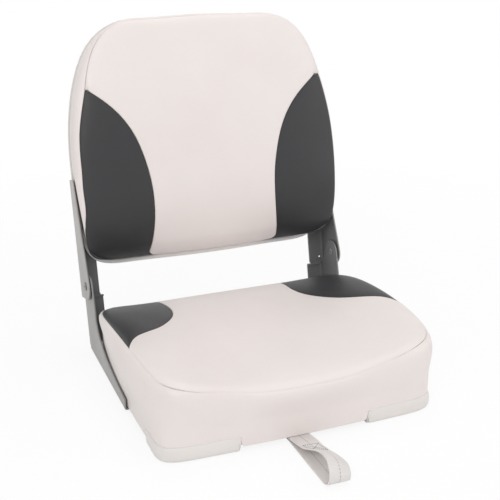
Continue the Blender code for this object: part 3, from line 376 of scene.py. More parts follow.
def seat_top(p, q):
    row, across = (q + 1) / 2, abs(p)
    centre, bolster = along(centre_heights, row), along(bolster_heights, row)
    height = centre + (bolster - centre) * min(across / BOLSTER_PLACE, 1) ** 2
    if across == 1:
        height = along(side_heights, row)
    if q == -1:
        height = along(front_heights, across)
    return seat_point(p, q, seam_widths, SEAM_WIDTH, SEAM_FRONT, SEAM_REAR, height * SEAT_HEIGHT)


def seat_bulge(p, q):
    return seat_point(p, q, bulge_widths, SEAT_WIDTH, BULGE_FRONT, BULGE_REAR, BULGE_HEIGHT)


def seat_wall(height):
    return lambda p, q: seat_point(p, q, hem_widths, PAN_WIDTH, PAN_REACH, PAN_REACH, height)


def grown(bm, edges):
    """Grows a row of faces out of these edges, and gives its new points and outer edges."""
    geometry = bmesh.ops.extrude_edge_only(bm, edges=edges)["geom"]
    added = {item for item in geometry if isinstance(item, bmesh.types.BMVert)}
    return added, [item for item in geometry if isinstance(item, bmesh.types.BMEdge)
                   and item.verts[0] in added and item.verts[1] in added]


def turn_outward(bm, centre):
    """Makes the faces agree, and turns them away from this centre."""
    bmesh.ops.recalc_face_normals(bm, faces=bm.faces)
    bm.normal_update()
    if sum(f.calc_area() * f.normal.dot(f.calc_center_median() - centre) for f in bm.faces) < 0:
        bmesh.ops.reverse_faces(bm, faces=bm.faces)


def soften(obj, levels=1):
    soft = obj.modifiers.new("soft", "SUBSURF")
    soft.levels = soft.render_levels = levels
    return soft


def thicken(obj, thickness, offset=-1):
    wall = obj.modifiers.new("wall", "SOLIDIFY")
    wall.thickness = thickness
    wall.offset = offset


def finished_mesh(obj):
    """The mesh that the object's modifiers give."""
    graph = bpy.context.evaluated_depsgraph_get()
    return bpy.data.meshes.new_from_object(obj.evaluated_get(graph))


def tree_of(points):
    tree = KDTree(len(points))
    for index, point in enumerate(points):
        tree.insert(point, index)
    tree.balance()
    return tree


class Pad:
    """The smooth outside of a cushion, from a coarse cage of its real sizes.

    The cage is a grid of six by six cells with three rings of cells round its edge.
    """

    RINGS = 3
    LEVELS = 3
    DOWN = 2**LEVELS
    ACROSS = 3 * DOWN
    DEPTH_STEPS = 16

    def __init__(self, name, face, rings, place, inset, pucker=lambda local: 0.0):
        self.name, self.place, self.inset, self.pucker = name, place, inset, pucker
        self.swell, self.tree = [], None
        bm = bmesh.new()
        across = bm.loops.layers.uv.new("across")
        down = bm.loops.layers.uv.new("down")
        bmesh.ops.create_grid(bm, x_segments=6, y_segments=6, size=1)
        level = {vert: 0 for vert in bm.verts}
        edge = [e for e in bm.edges if e.is_boundary]
        for number in range(1, self.RINGS + 1):
            added, edge = grown(bm, edge)
            level.update({vert: number for vert in added})
        for polygon in bm.faces:
            for loop in polygon.loops:
                loop[across].uv = loop.vert.co.xy
                loop[down].uv = (level[loop.vert], 0)
        for vert, number in level.items():
            p, q = round(vert.co.x, 6), round(vert.co.y, 6)
            vert.co = place @ (face, *rings)[number](p, q)
        self.centre = place @ ((face(0, 0) + rings[1](0, 0)) / 2)
        turn_outward(bm, self.centre)
        cage = built(name + "_cage", bm, seat)
        soften(cage, self.LEVELS).uv_smooth = "NONE"
        self.skin = finished_mesh(cage)
        bpy.data.objects.remove(cage)
        self.points = {}
        places, depths = [self.skin.uv_layers[word].uv for word in ("across", "down")]
        for loop in self.skin.loops:
            spot, depth = places[loop.index].vector, depths[loop.index].vector.x
            key = (round(spot.x * self.ACROSS), round(spot.y * self.ACROSS),
                   round(depth * self.DOWN))
            self.points[key] = self.skin.vertices[loop.vertex_index].co.copy()

    def local(self, point):
        """The point as it lies about the pad's own origin."""
        return self.place.inverted() @ point

    def at(self, p, q, depth=0.0):
        """The point at p, q of the face, or down the side below the place p, q of its edge."""
        sums, total = Vector((0, 0, 0)), 0
        ways = []
        for value, scale, low, high in ((p, self.ACROSS, -1, 1), (q, self.ACROSS, -1, 1),
                                        (depth, self.DOWN, 0, self.RINGS)):
            spot = min(max(value, low), high) * scale
            first = min(math.floor(spot + 1e-9), high * scale - 1)
            share = spot - first
            ways.append([(first, 1 - share), (first + 1, share)])
        for (a, share), (b, other), (c, third) in itertools.product(*ways):
            weight = share * other * third
            if weight > 1e-7 and (a, b, c) in self.points:
                sums += self.points[a, b, c] * weight
                total += weight
        return sums / total

    def depth_where(self, p, q, test):
        """How far down the side at this place test(point) first falls to zero."""
        before = test(self.at(p, q))
        if before <= 0:
            return 0.0
        for step in range(1, self.RINGS * self.DEPTH_STEPS + 1):
            value = test(self.at(p, q, step / self.DEPTH_STEPS))
            if value <= 0:
                return (step - 1 + before / (before - value)) / self.DEPTH_STEPS
            before = value
        return self.RINGS

    def settle(self, point, normal):
        """The point pulled in by the cover and swollen again by the foam."""
        moved = point - normal * self.inset(self.local(point))
        if self.swell:
            total, sums = 0, Vector((0, 0, 0))
            for _, index, distance in self.tree.find_n(point, 7):
                weight = 1 / (distance + 0.001) ** 2
                sums += self.swell[index] * weight
                total += weight
            moved += sums / total
        return moved


VOXEL = 0.0055
HELD_REACH = 0.020
HELD_FALL = 0.014
SWELL_LIMIT = 0.0040
CLOTH_FRAMES = 20
CLOTH = {"quality": 5, "mass": 0.4, "vertex_group_mass": "seams", "tension_stiffness": 40,
         "compression_stiffness": 40, "bending_stiffness": 2, "use_pressure": True,
         "uniform_pressure_force": 4}


def blow_up(pad, obj, seams):
    """Blows the block up as cloth held at its seams, and keeps each point's small move."""
    rest = [vert.co.copy() for vert in obj.data.vertices]
    held = tree_of(seams)
    pins = obj.vertex_groups.new(name="seams")
    for index, point in enumerate(rest):
        pins.add([index], clamped((HELD_REACH - held.find(point)[2]) / HELD_FALL), "REPLACE")
    cloth = obj.modifiers.new("stuffed", "CLOTH").settings
    for key, value in CLOTH.items():
        setattr(cloth, key, value)
    cloth.effector_weights.gravity = 0
    for number in range(1, CLOTH_FRAMES + 1):
        bpy.context.scene.frame_set(number)
    blown = finished_mesh(obj)
    moves = [vert.co - start for vert, start in zip(blown.vertices, rest)]
    obj.modifiers.clear()
    bpy.context.scene.frame_set(1)
    bpy.data.meshes.remove(blown)
    size = sorted(move.length for move in moves)[int(len(moves) * 0.97)]
    pad.swell = [move * SWELL_LIMIT / max(size, move.length, SWELL_LIMIT) for move in moves]
    pad.tree = tree_of(rest)


def stuff(pad, seams, cut_place, cut_normal, node, body):
    """Makes the pad's foam: a closed block that stays clear of the rolled seams of its cover."""
    bm = bmesh.new()
    bm.from_mesh(pad.skin)
    bmesh.ops.bisect_plane(bm, geom=[*bm.verts, *bm.edges, *bm.faces],
                           plane_co=pad.place @ Vector(cut_place),
                           plane_no=pad.place.to_3x3() @ Vector(cut_normal), clear_outer=True)
    bmesh.ops.contextual_create(bm, geom=[e for e in bm.edges if e.is_boundary])
    turn_outward(bm, pad.centre)
    for vert in bm.verts:
        vert.co -= vert.normal * pad.inset(pad.local(vert.co))
    obj = built(pad.name + "_foam", bm, seat)
    voxels = obj.modifiers.new("even", "REMESH")
    voxels.mode = "VOXEL"
    voxels.voxel_size = VOXEL
    even = finished_mesh(obj)
    obj.modifiers.clear()
    obj.data = even
    blow_up(pad, obj, seams)
    bm = bmesh.new()
    bm.from_mesh(even)
    for vert, move in zip(bm.verts, pad.swell):
        vert.co += move
    bm.normal_update()
    for vert in bm.verts:
        vert.co -= vert.normal * FOAM_CLEARANCE
    bm.to_mesh(even)
    bm.free()
    even.shade_smooth()
    even.materials.append(foam)
    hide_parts(node)
    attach(obj, body)
    pad.block = obj


ROLL_ROWS = (0.0004, 0.0010, 0.0018, 0.0030, 0.0050, 0.0080)


def crowded(length, count, start=True, end=True):
    """Shares along a span: even, but crowded beside a sewn end, where the vinyl rolls in."""
    close = [step / max(length, 0.04) for step in ROLL_ROWS]
    first = close if start else []
    last = [1 - step for step in reversed(close)] if end else []
    low, high = (first or [0])[-1], (last or [1])[0]
    middle = [low + (high - low) * step / count for step in range(1, count)]
    return [0, *first, *middle, *last, 1]


DIP = 0.45
DIP_REACH = 0.008


def sewn(name, pad, bm, spots, slot, node, roll, hem=lambda e: False):
    """Lays a panel on its pad by its spots (p, q, depth) and sews its edges in, but for a hem.

    It is fixed to the pad's foam block and takes the place of a plain solid.
    """
    for vert, spot in spots.items():
        vert.co = pad.at(*spot)
    bmesh.ops.remove_doubles(bm, verts=bm.verts, dist=0.00002)
    bmesh.ops.dissolve_degenerate(bm, edges=bm.edges, dist=0.00001)
    turn_outward(bm, pad.centre)
    bm.normal_update()
    seam = bm.verts.layers.float.new("seam")
    samples = []
    for a, b in [[vert.co for vert in e.verts] for e in bm.edges if e.is_boundary and not hem(e)]:
        parts = max(1, int((a - b).length / 0.001))
        samples += [a.lerp(b, step / parts) for step in range(parts + 1)]
    border = tree_of(samples)
    for vert, normal in [(vert, vert.normal.copy()) for vert in bm.verts]:
        away = border.find(vert.co)[2]
        dip = DIP * roll * math.exp(-((away / DIP_REACH) ** 2))
        if away < roll:
            dip += roll - math.sqrt(roll**2 - (roll - away) ** 2)
        pucker = pad.pucker(pad.local(vert.co)) * math.exp(-away / 0.010) * min(away / 0.003, 1)
        vert[seam] = math.exp(-away / 0.0035)
        vert.co = pad.settle(vert.co, normal) - normal * (dip + pucker)
    obj = built(name, bm, seat, vinyls[slot])
    thicken(obj, SKIN)
    soften(obj)
    obj.parent = pad.block
    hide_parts(node)


def grid(columns, rows):
    """A flat grid, and the number of the column and row of each of its points."""
    bm = bmesh.new()
    bmesh.ops.create_grid(bm, x_segments=columns, y_segments=rows, size=1)
    return bm, {vert: (round((vert.co.x + 1) / 2 * columns), round((vert.co.y + 1) / 2 * rows))
                for vert in bm.verts}


def curve_through(points, parts):
    """A smooth curve through these points, in so many parts from each to the next."""
    ends = [2 * points[0] - points[1], *points, 2 * points[-1] - points[-2]]
    curve = []
    for a, b, c, d in zip(ends, ends[1:], ends[2:], ends[3:]):
        for t in [step / parts for step in range(parts)]:
            curve.append((2 * b + (c - a) * t + (2 * a - 5 * b + 4 * c - d) * t**2
                          + (3 * b - a - 3 * c + d) * t**3) / 2)
    return [*curve, points[-1]]


class AccentEdge:
    """The seam between a charcoal panel and the white one, drawn in plan on the cushion."""

    def __init__(self, pad, widths, rows, half, foot, length, upward):
        self.pad, self.upward = pad, upward
        points = [Vector((w * half, foot + r * length)) for w, r in zip(widths, rows)]
        curve = sorted(curve_through(points, 8), key=lambda point: point.y)
        self.asides, self.places = zip(*curve)

    def beyond(self, p, q):
        """How far the point at p, q lies outside the edge; above zero on the charcoal side."""
        local = self.pad.local(self.pad.at(p, q))
        y = local.z if self.upward else local.y
        if not self.places[0] <= y <= self.places[-1]:
            return 1.0 if (y > self.places[-1]) != self.upward else -1.0
        return local.x - between(self.places, self.asides, y)

    def across(self, q):
        """The p of the edge in row q, or 1 where the white panel takes the whole row."""
        before = self.beyond(0, q)
        for step in range(1, 81):
            value = self.beyond(step / 80, q)
            if value > 0:
                return (step - 1 - before / (value - before)) / 80
            before = value
        return 1.0

    def tip(self, low, high):
        """The row, between one on the charcoal side and one beyond the tip, where it ends."""
        for _ in range(30):
            middle = (low + high) / 2
            if self.beyond(1, middle) > 0:
                low = middle
            else:
                high = middle
        return low
    def seams(self, low, high):
        """Points along this edge and its mirror image, between these two rows."""
        rows = [low + (high - low) * step / 80 for step in range(81)]
        return [self.pad.at(side * self.across(q), q) for q in rows for side in (1, -1)]


def seat_inset(local):
    return 0.0006 * clamped((local.z - 0.034) / 0.026)


def seat_pucker(local):
    """Small gathers where the side panel turns the front corners."""
    corner = math.exp(-(((abs(local.x) - 0.172) / 0.022) ** 2)) * (local.y < -0.12)
    return 0.0007 * corner * math.sin(local.x * 620 + local.y * 540)


seat_pad = Pad("seat_cushion", seat_top,
               (seat_bulge, seat_wall(WALL_TOP), seat_wall(HEM_HEIGHT - CAGE_BEYOND)),
               Matrix.Identity(4), seat_inset, seat_pucker)
seat_accent = AccentEdge(seat_pad, (0.54, 0.51, 0.50, 0.55, 0.68, 0.82, 0.95, 1.06),
                         (1.10, 0.86, 0.74, 0.64, 0.54, 0.47, 0.40, 0.29),
                         PAN_WIDTH / 2, -PAN_REACH, 2 * PAN_REACH, False)
seat_tip = seat_accent.tip(1.0, -0.8)


def round_edge(step):
    """The place p, q at this distance round the cushion's edge, 0 to 8, corners at even counts."""
    side, share = divmod(step % 8, 2)
    return [(share - 1, -1), (1, share - 1), (1 - share, 1), (-1, 1 - share)][int(side)]


CORNER_ROUNDING = ((-1, 0.28, 0.32), (1, 0.40, 0.40))


def seat_seam(step):
    """The seam of the top panel beside this step of the edge; it cuts the front corners round."""
    p, q = round_edge(step)
    for side, wide, deep in CORNER_ROUNDING:
        aside, back = 1 - side * p, q + 1
        if aside < wide and back < deep:
            if back == 0:
                angle = math.radians(45 + 45 * aside / wide)
            else:
                angle = math.radians(45 - 45 * back / deep)
            return (side * (1 - wide * (1 - math.cos(angle))), -1 + deep * (1 - math.sin(angle)))
    return p, q


def seam_reach(side, q):
    """How far the top panel reaches to this side in row q."""
    _, wide, deep = CORNER_ROUNDING[side > 0]
    into = max(deep - 1 - q, 0) / deep
    return 1 - wide * (1 - math.sqrt(max(1 - into**2, 0)))


FOOT_INSIDE = 0.0887
FOOT_OUTSIDE = 0.1603
FRONT_FOOT_END = -0.1067
REAR_FOOT_START = 0.150
FOOT_LEVEL = 0.012


def seat_depth(p, q, height):
    """How far down the side the cushion passes this height."""
    return seat_pad.depth_where(p, q, lambda point: point.z - height)


def over_foot(p, q):
    point = seat_pad.at(p, q, seat_depth(p, q, FOOT_LEVEL))
    front = abs(point.x) > FOOT_INSIDE and point.y < FRONT_FOOT_END
    rear = FOOT_INSIDE < abs(point.x) < FOOT_OUTSIDE and point.y > REAR_FOOT_START
    return front or rear


def seat_hem(p, q):
    return seat_depth(p, q, HEM_OVER_FOOT if over_foot(p, q) else HEM_HEIGHT)


def hem_points(pad, hem, above):
    """Points round the pad at its hem, a little above it and on the wall of the tray."""
    places = [round_edge(step / 40) for step in range(320)]
    hems = [(p, q, hem(p, q)) for p, q in places]
    return [pad.at(p, q, deep) for p, q, low in hems for deep in (low, low - above, 2)]


seams = [seat_pad.at(*seat_seam(step / 40)) for step in range(320)]
seams += seat_accent.seams(seat_tip, 1) + hem_points(seat_pad, seat_hem, 0.15)
stuff(seat_pad, seams, (0, 0, 0.0303), (0, 0, -1), "seat_foam", "seat")

SEAT_ROLL = 0.0012
CORNER_ROLL = 0.0020
SIDES = ((-1, "left"), (1, "right"))


def row_shares(low, high, count, start, end):
    length = (high - low) / 2 * 0.36
    return [low + (high - low) * share for share in crowded(length, count, start, end)]


def spanned(rows, spans, count, end=True):
    """The grid of a panel that runs from one p to another in each row q, and its spots."""
    columns = len(crowded(1, count, True, end)) - 1
    bm, numbers = grid(columns, len(rows) - 1)
    spots = {}
    for vert, (i, j) in numbers.items():
        low, high = spans[j]
        share = crowded(abs(high - low) * 0.2, count, True, end)[i]
        spots[vert] = (high if i == columns else low + (high - low) * share, rows[j], 0.0)
    return bm, spots


rear_rows = row_shares(seat_tip, 1, 28, False, True)
rear_reach = [seat_accent.across(q) for q in rear_rows]
front_rows = row_shares(-1, seat_tip, 40, True, False)
rows = [*front_rows, *rear_rows[1:]]
reach = [*[1.0] * len(front_rows), *rear_reach[1:]]
bm, spots = spanned(rows, [[side * min(r, seam_reach(side, q)) for side in (-1, 1)]
                           for q, r in zip(rows, reach)], 44)
sewn("seat_top_panel", seat_pad, bm, spots, "white_vinyl", "seat_cover_top", SEAT_ROLL)

for side, word in SIDES:
    bm, spots = spanned(rear_rows, [(side * r, side) for r in rear_reach], 16)
    sewn("seat_corner_panel_" + word, seat_pad, bm, spots, "charcoal_vinyl",
         "seat_accent_" + word, CORNER_ROLL)

# The columns of the side panel crowd where its hem steps up over a foot.
WALL_LENGTH = 0.09
HEM_STEP = 0.0035

steps = [step / 30 for step in range(241)]
standing = [over_foot(*round_edge(step / 400)) for step in range(3201)]
for step in range(1, 3201):
    if standing[step] != standing[step - 1]:
        steps += [step / 400 - HEM_STEP, step / 400 + HEM_STEP]
steps = sorted(steps)
steps = [step for step, after in zip(steps, steps[1:] + [9]) if after - step > 0.003]
steps[-1] = 8
hem_depth = [seat_hem(*round_edge(step)) for step in steps]
shares = crowded(WALL_LENGTH, 16)
bm, numbers = grid(len(steps) - 1, len(shares) - 1)
spots = {}
for vert, (i, j) in numbers.items():
    edge, seam = Vector(round_edge(steps[i])), Vector(seat_seam(steps[i]))
    flat = (seat_pad.at(*edge) - seat_pad.at(*seam)).length
    flat /= flat + WALL_LENGTH
    if shares[j] < flat:
        spots[vert] = (*seam.lerp(edge, shares[j] / flat), 0.0)
    else:
        spots[vert] = (*edge, (shares[j] - flat) / (1 - flat) * hem_depth[i])


def seat_hem_edge(e):
    return max(vert.co.z for vert in e.verts) < 0.030


sewn("seat_side_panel", seat_pad, bm, spots, "white_vinyl", "seat_cover_side", SEAT_ROLL,
     seat_hem_edge)


# ----------
# Front feet. The pan's feet show under the hem at both front corners, where a rounded moulded
# cap covers each of them.

CAP_TOP = 0.0214
CAP_HEIGHT = 0.0210
CAP_WALL = 0.0016
CAP_LIFT = 0.0005
CAP_SWELL = 0.0021
CAP_COLUMNS = 60
CAP_ROWS = 12
CAP_ENDS = 4

edge_points = [(step / 200, seat_pad.at(*round_edge(step / 200), 2))
               for step in range(-400, 600)]
on_front_foot = [step for step, point in edge_points
                 if point.y < -0.1075 and abs(point.x) > 0.0892]
for side, word in SIDES:
    own = [step for step in on_front_foot if (step > 1) == (side > 0)]
    places = [round_edge(own[0] + (own[-1] - own[0]) * column / CAP_COLUMNS)
              for column in range(CAP_COLUMNS + 1)]
    bm, numbers = grid(CAP_COLUMNS, CAP_ROWS)
    for vert, (i, j) in numbers.items():
        height = CAP_TOP - CAP_HEIGHT * j / CAP_ROWS
        spot = seat_pad.at(*places[i], seat_depth(*places[i], height))
        a, b = [seat_pad.at(*places[near], 2)
                for near in (max(i - 1, 0), min(i + 1, CAP_COLUMNS))]
        out = (b - a).cross(Vector((0, 0, 1))).normalized()
        end = min(min(i, CAP_COLUMNS - i) / CAP_ENDS, 1)
        swell = (1 - abs(j / CAP_ROWS * 2 - 1) ** 3) * (1 - (1 - end) ** 2)
        vert.co = spot + out * (CAP_LIFT + CAP_SWELL * swell)
    turn_outward(bm, Vector((0, 0, 0.01)))
    foot_cap = built("foot_cap_" + word, bm, seat, shell_plastic)
    thicken(foot_cap, CAP_WALL)
    soften(foot_cap)
    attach(foot_cap, "seat")


# ----------
# Back cushion. A thicker foam block in the same kind of cover, on the tray of the rear shell.
# The front panel and the charcoal panels turn round its edges and under it, and meet a side
# panel that runs up one side, over the top and down the other.

BACK_WIDTH = 0.414
TRAY_WIDTH = 0.396
BACK_FOOT = 0.028
BACK_TOP = 0.3835
BACK_DEPTH = 0.076
REAR = 0.039
SHELL_FRONT = 0.0033
COVER_FOOT = 0.025
COVER_TOP = 0.382
PIVOT_BACK = 0.160
PIVOT_HEIGHT = 0.112
RECLINE = math.radians(12.5)
BACK_ROLL = 0.0014
back_place = (Matrix.Translation((0, PIVOT_BACK, PIVOT_HEIGHT))
              @ Matrix.Rotation(-RECLINE, 4, "X"))

back_rows = (0, 0.155, 0.35, 0.535, 0.715, 0.91, 1)
tray_widths = (0.925, 0.97, 1, 0.995, 0.945, 0.815, 0.565)
back_bulge_widths = (0.86, 0.94, 1, 1, 0.95, 0.825, 0.56)
back_face_widths = (1.02, 1.02, 1.01, 0.985, 0.905, 0.825, 0.61)
back_side_depths = (0.44, 0.90, 0.91, 0.91, 0.905, 0.90, 0.90)
back_centre_depths = (0.53, 0.93, 0.96, 0.97, 0.97, 0.96, 0.86)
back_seam_heights = (0, 0.03, 0.073, 0.096, 0.118, 0.171, 0.21, 0.25, 0.40, 0.55, 0.70, 1)
back_seam_depths = (-0.2, 0.30, 0.57, 0.625, 0.66, 0.77, 0.81, 0.835, 0.84, 0.825, 0.83, 0.80)
SEAM_ASKEW = 0.03


def back_point(p, q, widths, width, foot, top, depth):
    """A point of the back's cage upright about the pivot; depth is measured from its rear."""
    row = (q + 1) / 2
    up = foot + (top - foot) * along(back_rows, row)
    if abs(q) == 1:
        up -= math.copysign(0.008 * p**2 - 0.007 * p**6, q)
    return Vector((p * along(widths, row) * width / 2, REAR - depth, up))


def back_face(p, q):
    row = (q + 1) / 2
    centre, side = along(back_centre_depths, row), along(back_side_depths, row)
    depth = (centre + (side - centre) * abs(p) ** 3) * BACK_DEPTH
    return back_point(p, q, back_face_widths, BACK_WIDTH, COVER_FOOT, COVER_TOP, depth)


def back_bulge(p, q):
    depth = 0.0335 if q == -1 else 0.050
    return back_point(p, q, back_bulge_widths, BACK_WIDTH, COVER_FOOT, COVER_TOP, depth)


def back_wall(depth):
    return lambda p, q: back_point(p, q, tray_widths, TRAY_WIDTH, BACK_FOOT, BACK_TOP, depth)


def back_inset(local):
    """The cover's pull: slight in front, stronger along the foot, above the rim of the shell."""
    ahead = REAR - local.y
    foot = clamped((0.052 - local.z) / 0.022) * clamped((ahead - 0.006) / 0.012)
    return 0.0006 * clamped((ahead - 0.012) / 0.020) + 0.0045 * foot


back_pad = Pad("back_cushion", back_face, (back_bulge, back_wall(0.017), back_wall(-CAGE_BEYOND)),
               back_place, back_inset)
back_accent = AccentEdge(back_pad, (0.56, 0.495, 0.485, 0.52, 0.59, 0.70, 0.86, 1.04),
                         (-0.10, 0.12, 0.28, 0.41, 0.527, 0.62, 0.70, 0.765),
                         TRAY_WIDTH / 2, BACK_FOOT, BACK_TOP - BACK_FOOT, True)
back_tip = back_accent.tip(-1.0, 0.8)


def ahead_of_rear(point):
    return REAR - back_pad.local(point).y


def back_seam(p, q):
    """Where the panels of the front end: at the side panel's seam, or at the shell below it."""
    def ahead(point):
        share = (back_pad.local(point).z - BACK_FOOT) / (BACK_TOP - BACK_FOOT)
        deep = between(back_seam_heights, back_seam_depths, share)
        return ahead_of_rear(point) - max((deep - SEAM_ASKEW * p) * BACK_DEPTH, SHELL_FRONT)
    return back_pad.depth_where(p, q, ahead)


def back_hem(p, q):
    return back_pad.depth_where(p, q, lambda point: ahead_of_rear(point) - SHELL_FRONT)


seams = [back_pad.at(p, q, back_seam(p, q))
         for p, q in [round_edge(step / 40) for step in range(320)]]
seams += back_accent.seams(-1, back_tip) + hem_points(back_pad, back_hem, 0.1)
stuff(back_pad, seams, (0, REAR - 0.0073, 0), (0, 1, 0), "back_foam", "back")


def turned_round(bm, spots, chain, rows):
    """Takes a panel on round the cushion's edge, from the edges of its grid that chain names."""
    edges = [e for e in bm.edges if e.is_boundary and all(chain(*spots[v][:2]) for v in e.verts)
             and any(a == b for a, b in zip(*[spots[v][:2] for v in e.verts]))]
    ends = {}
    for share in rows:
        added, edges = grown(bm, edges)
        for vert in added:
            inner = next(e.other_vert(vert) for e in vert.link_edges
                         if e.other_vert(vert) not in added)
            p, q = spots[inner][:2]
            if (p, q) not in ends:
                ends[p, q] = back_seam(p, q)
            spots[vert] = (p, q, ends[p, q] * share)


def back_hem_edge(e):
    return max(ahead_of_rear(vert.co) for vert in e.verts) < 0.006


TURN_LENGTH = 0.055
LOWER_ROWS = 36
UPPER_ROWS = 14

turn_rows = crowded(TURN_LENGTH, 6, False, True)[1:]
lower_rows = [*[-1 + (back_tip + 1) * step / LOWER_ROWS for step in range(LOWER_ROWS)], back_tip]
lower_reach = [*[back_accent.across(q) for q in lower_rows[:-1]], 1.0]
upper_rows = [back_tip + (1 - back_tip) * step / UPPER_ROWS for step in range(1, UPPER_ROWS)]
bm, spots = spanned([*lower_rows, *upper_rows, 1],
                    [(-r, r) for r in [*lower_reach, *[1.0] * UPPER_ROWS]], 44)
turned_round(bm, spots, lambda p, q: abs(q) == 1 or (abs(p) == 1 and q >= back_tip), turn_rows)
sewn("back_front_panel", back_pad, bm, spots, "white_vinyl", "back_cover_front", BACK_ROLL,
     back_hem_edge)

for side, word in SIDES:
    bm, spots = spanned(lower_rows, [(side * r, side) for r in lower_reach], 16, False)
    turned_round(bm, spots, lambda p, q: q == -1 or abs(p) == 1, turn_rows)
    sewn("back_corner_panel_" + word, back_pad, bm, spots, "charcoal_vinyl",
         "back_accent_" + word, BACK_ROLL, back_hem_edge)

steps = [2 + step / 30 for step in range(181)]
upper = [back_seam(*round_edge(step)) for step in steps]
lower = [back_hem(*round_edge(step)) for step in steps]
shares = crowded(TURN_LENGTH, 12, True, False)
bm, numbers = grid(len(steps) - 1, len(shares) - 1)
spots = {vert: (*round_edge(steps[i]), upper[i] + max(lower[i] - upper[i], 0) * shares[j])
         for vert, (i, j) in numbers.items()}
sewn("back_side_panel", back_pad, bm, spots, "white_vinyl", "back_cover_side", BACK_ROLL,
     back_hem_edge)


# ----------
# Rim of the rear shell. A rounded bead along the shell's foot, which shows as a pale line
# under the cushion; it runs on round both lower corners and thins out there. Its plastic is
# painted lighter than the shell's: painted light, where the cushion shades it.

RIM_DROP = 0.0074
RIM_ROOT = 0.0010
RIM_END = 0.0016
RIM_DEPTH = 0.0052
RIM_HALF = 0.0020
RIM_BEYOND = 0.32
RIM_FULL = 0.10
RIM_COLUMNS = 120
RIM_ROWS = 12

rim_steps = [-RIM_BEYOND + (2 + 2 * RIM_BEYOND) * step / RIM_COLUMNS
             for step in range(RIM_COLUMNS + 1)]
rim_line = [back_pad.local(back_pad.at(p, q, back_hem(p, q)))
            for p, q in [round_edge(step) for step in rim_steps]]
bm, numbers = grid(RIM_COLUMNS, RIM_ROWS)
for vert, (i, j) in numbers.items():
    run = rim_line[min(i + 1, RIM_COLUMNS)] - rim_line[max(i - 1, 0)]
    out = Vector((run.z, 0, -run.x)).normalized()
    beyond = max(-rim_steps[i] - RIM_FULL, rim_steps[i] - 2 - RIM_FULL, 0)
    thinned = 1 - (beyond / (RIM_BEYOND - RIM_FULL)) ** 2
    reach = RIM_END + (RIM_DROP - RIM_END) * thinned
    angle = 2 * math.pi * j / RIM_ROWS
    across = math.copysign(abs(math.cos(angle)) ** 0.6, math.cos(angle))
    deep = math.copysign(abs(math.sin(angle)) ** 0.8, math.sin(angle))
    spot = rim_line[i] + out * (RIM_ROOT + (reach - RIM_ROOT) * (across + 1) / 2)
    spot.y = REAR - RIM_DEPTH + RIM_HALF * deep
    vert.co = back_place @ spot
bmesh.ops.remove_doubles(bm, verts=bm.verts, dist=0.00001)
bmesh.ops.holes_fill(bm, edges=[e for e in bm.edges if e.is_boundary], sides=0)
bmesh.ops.recalc_face_normals(bm, faces=bm.faces)
# Painted light: the rim's plastic is lighter than the shell's own, standing in for light that the
# cushion keeps off it.
shell_rim = built("shell_rim", bm, seat,
                  moulded("rim_plastic_painted_light", (0.93, 0.915, 0.90), (0.88, 0.86, 0.84)))
soften(shell_rim)
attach(shell_rim, "back")


# ----------
# Hold-down strap. Flat woven webbing, folded into a loop that comes out from under the front
# edge, with both ends under one screw and a box of stitches where the two layers part.

STRAP_WIDTH = 0.029
STRAP_THICKNESS = 0.0017
STRAP_ASIDE = 0.010
STRAP_ANCHOR = 0.105
STRAP_NOSE = 0.2865
STRAP_CREST = 0.0255
ANCHOR_HEIGHT = 0.0125
ANCHOR_CLEARANCE = 0.0012
HELD_HALF = 0.013
LAYER_GAP = 0.0005
LEAN = 0.004
TURN = math.radians(24)
CUP = 0.0006
WEB_COLUMNS = 12

strap_out = (0.47, 0.56, 0.598, 0.63, 0.68, 0.74, 0.80, 0.86, 0.915, 0.955, 0.985, 1)
strap_rise = (0.31, 0.18, 0.175, 0.22, 0.34, 0.43, 0.64, 0.87, 0.99, 0.98, 0.80, 0.50)
strap_turn = (0, 0, 0, 0, 0.05, 0.25, 0.65, 0.95, 1, 0.8, 0.45, 0.15)
strap_back = (0.992, 0.965, 0.92, 0.80, 0.68, 0.598, 0.545, 0.47)
strap_floor = (0.22, 0.075, 0.047, 0.047, 0.047, 0.047, 0.07, 0.20)


def webbing_finish():
    """Plain weave of polyester yarns, with a thread sewn along its middle."""
    finish = Finish("strap_webbing", (0.92, 0.885, 0.865), 0.8, specular=0.25)
    weave = finish.node("UVMap", {"uv_map": "weave"}, {})
    across, lengthwise, _ = finish.axes(weave)
    warp = (across * (2 * math.pi / 0.0013)).through("SINE")
    weft = lengthwise * (2 * math.pi / 0.0016)
    yarn = warp.above(0.0)
    height = weft.through("SINE") * yarn + weft.through("COSINE") * (1 - yarn)
    middle = (across - STRAP_WIDTH / 2).through("ABSOLUTE")
    thread = 1 - finish.ramp(middle, 0.0004, 0.0008)
    dash = thread * (lengthwise * (2 * math.pi / 0.0042)).through("SINE").above(-0.4)
    edge = finish.ramp(middle, 0.0125, 0.0142)
    tone = (1 - height) * 0.28 + finish.noise(60, 3) * 0.35 + edge * 0.2
    weave_colour = finish.blend(tone, (0.95, 0.915, 0.895, 1), (0.80, 0.765, 0.745, 1))
    finish.feed(Base_Color=finish.blend(dash * 0.7, weave_colour, (0.42, 0.41, 0.41, 1)))
    finish.relief(height + warp.through("ABSOLUTE") * 0.6 - thread + dash * 1.5, 0.00022, 0.9)
    return finish.material


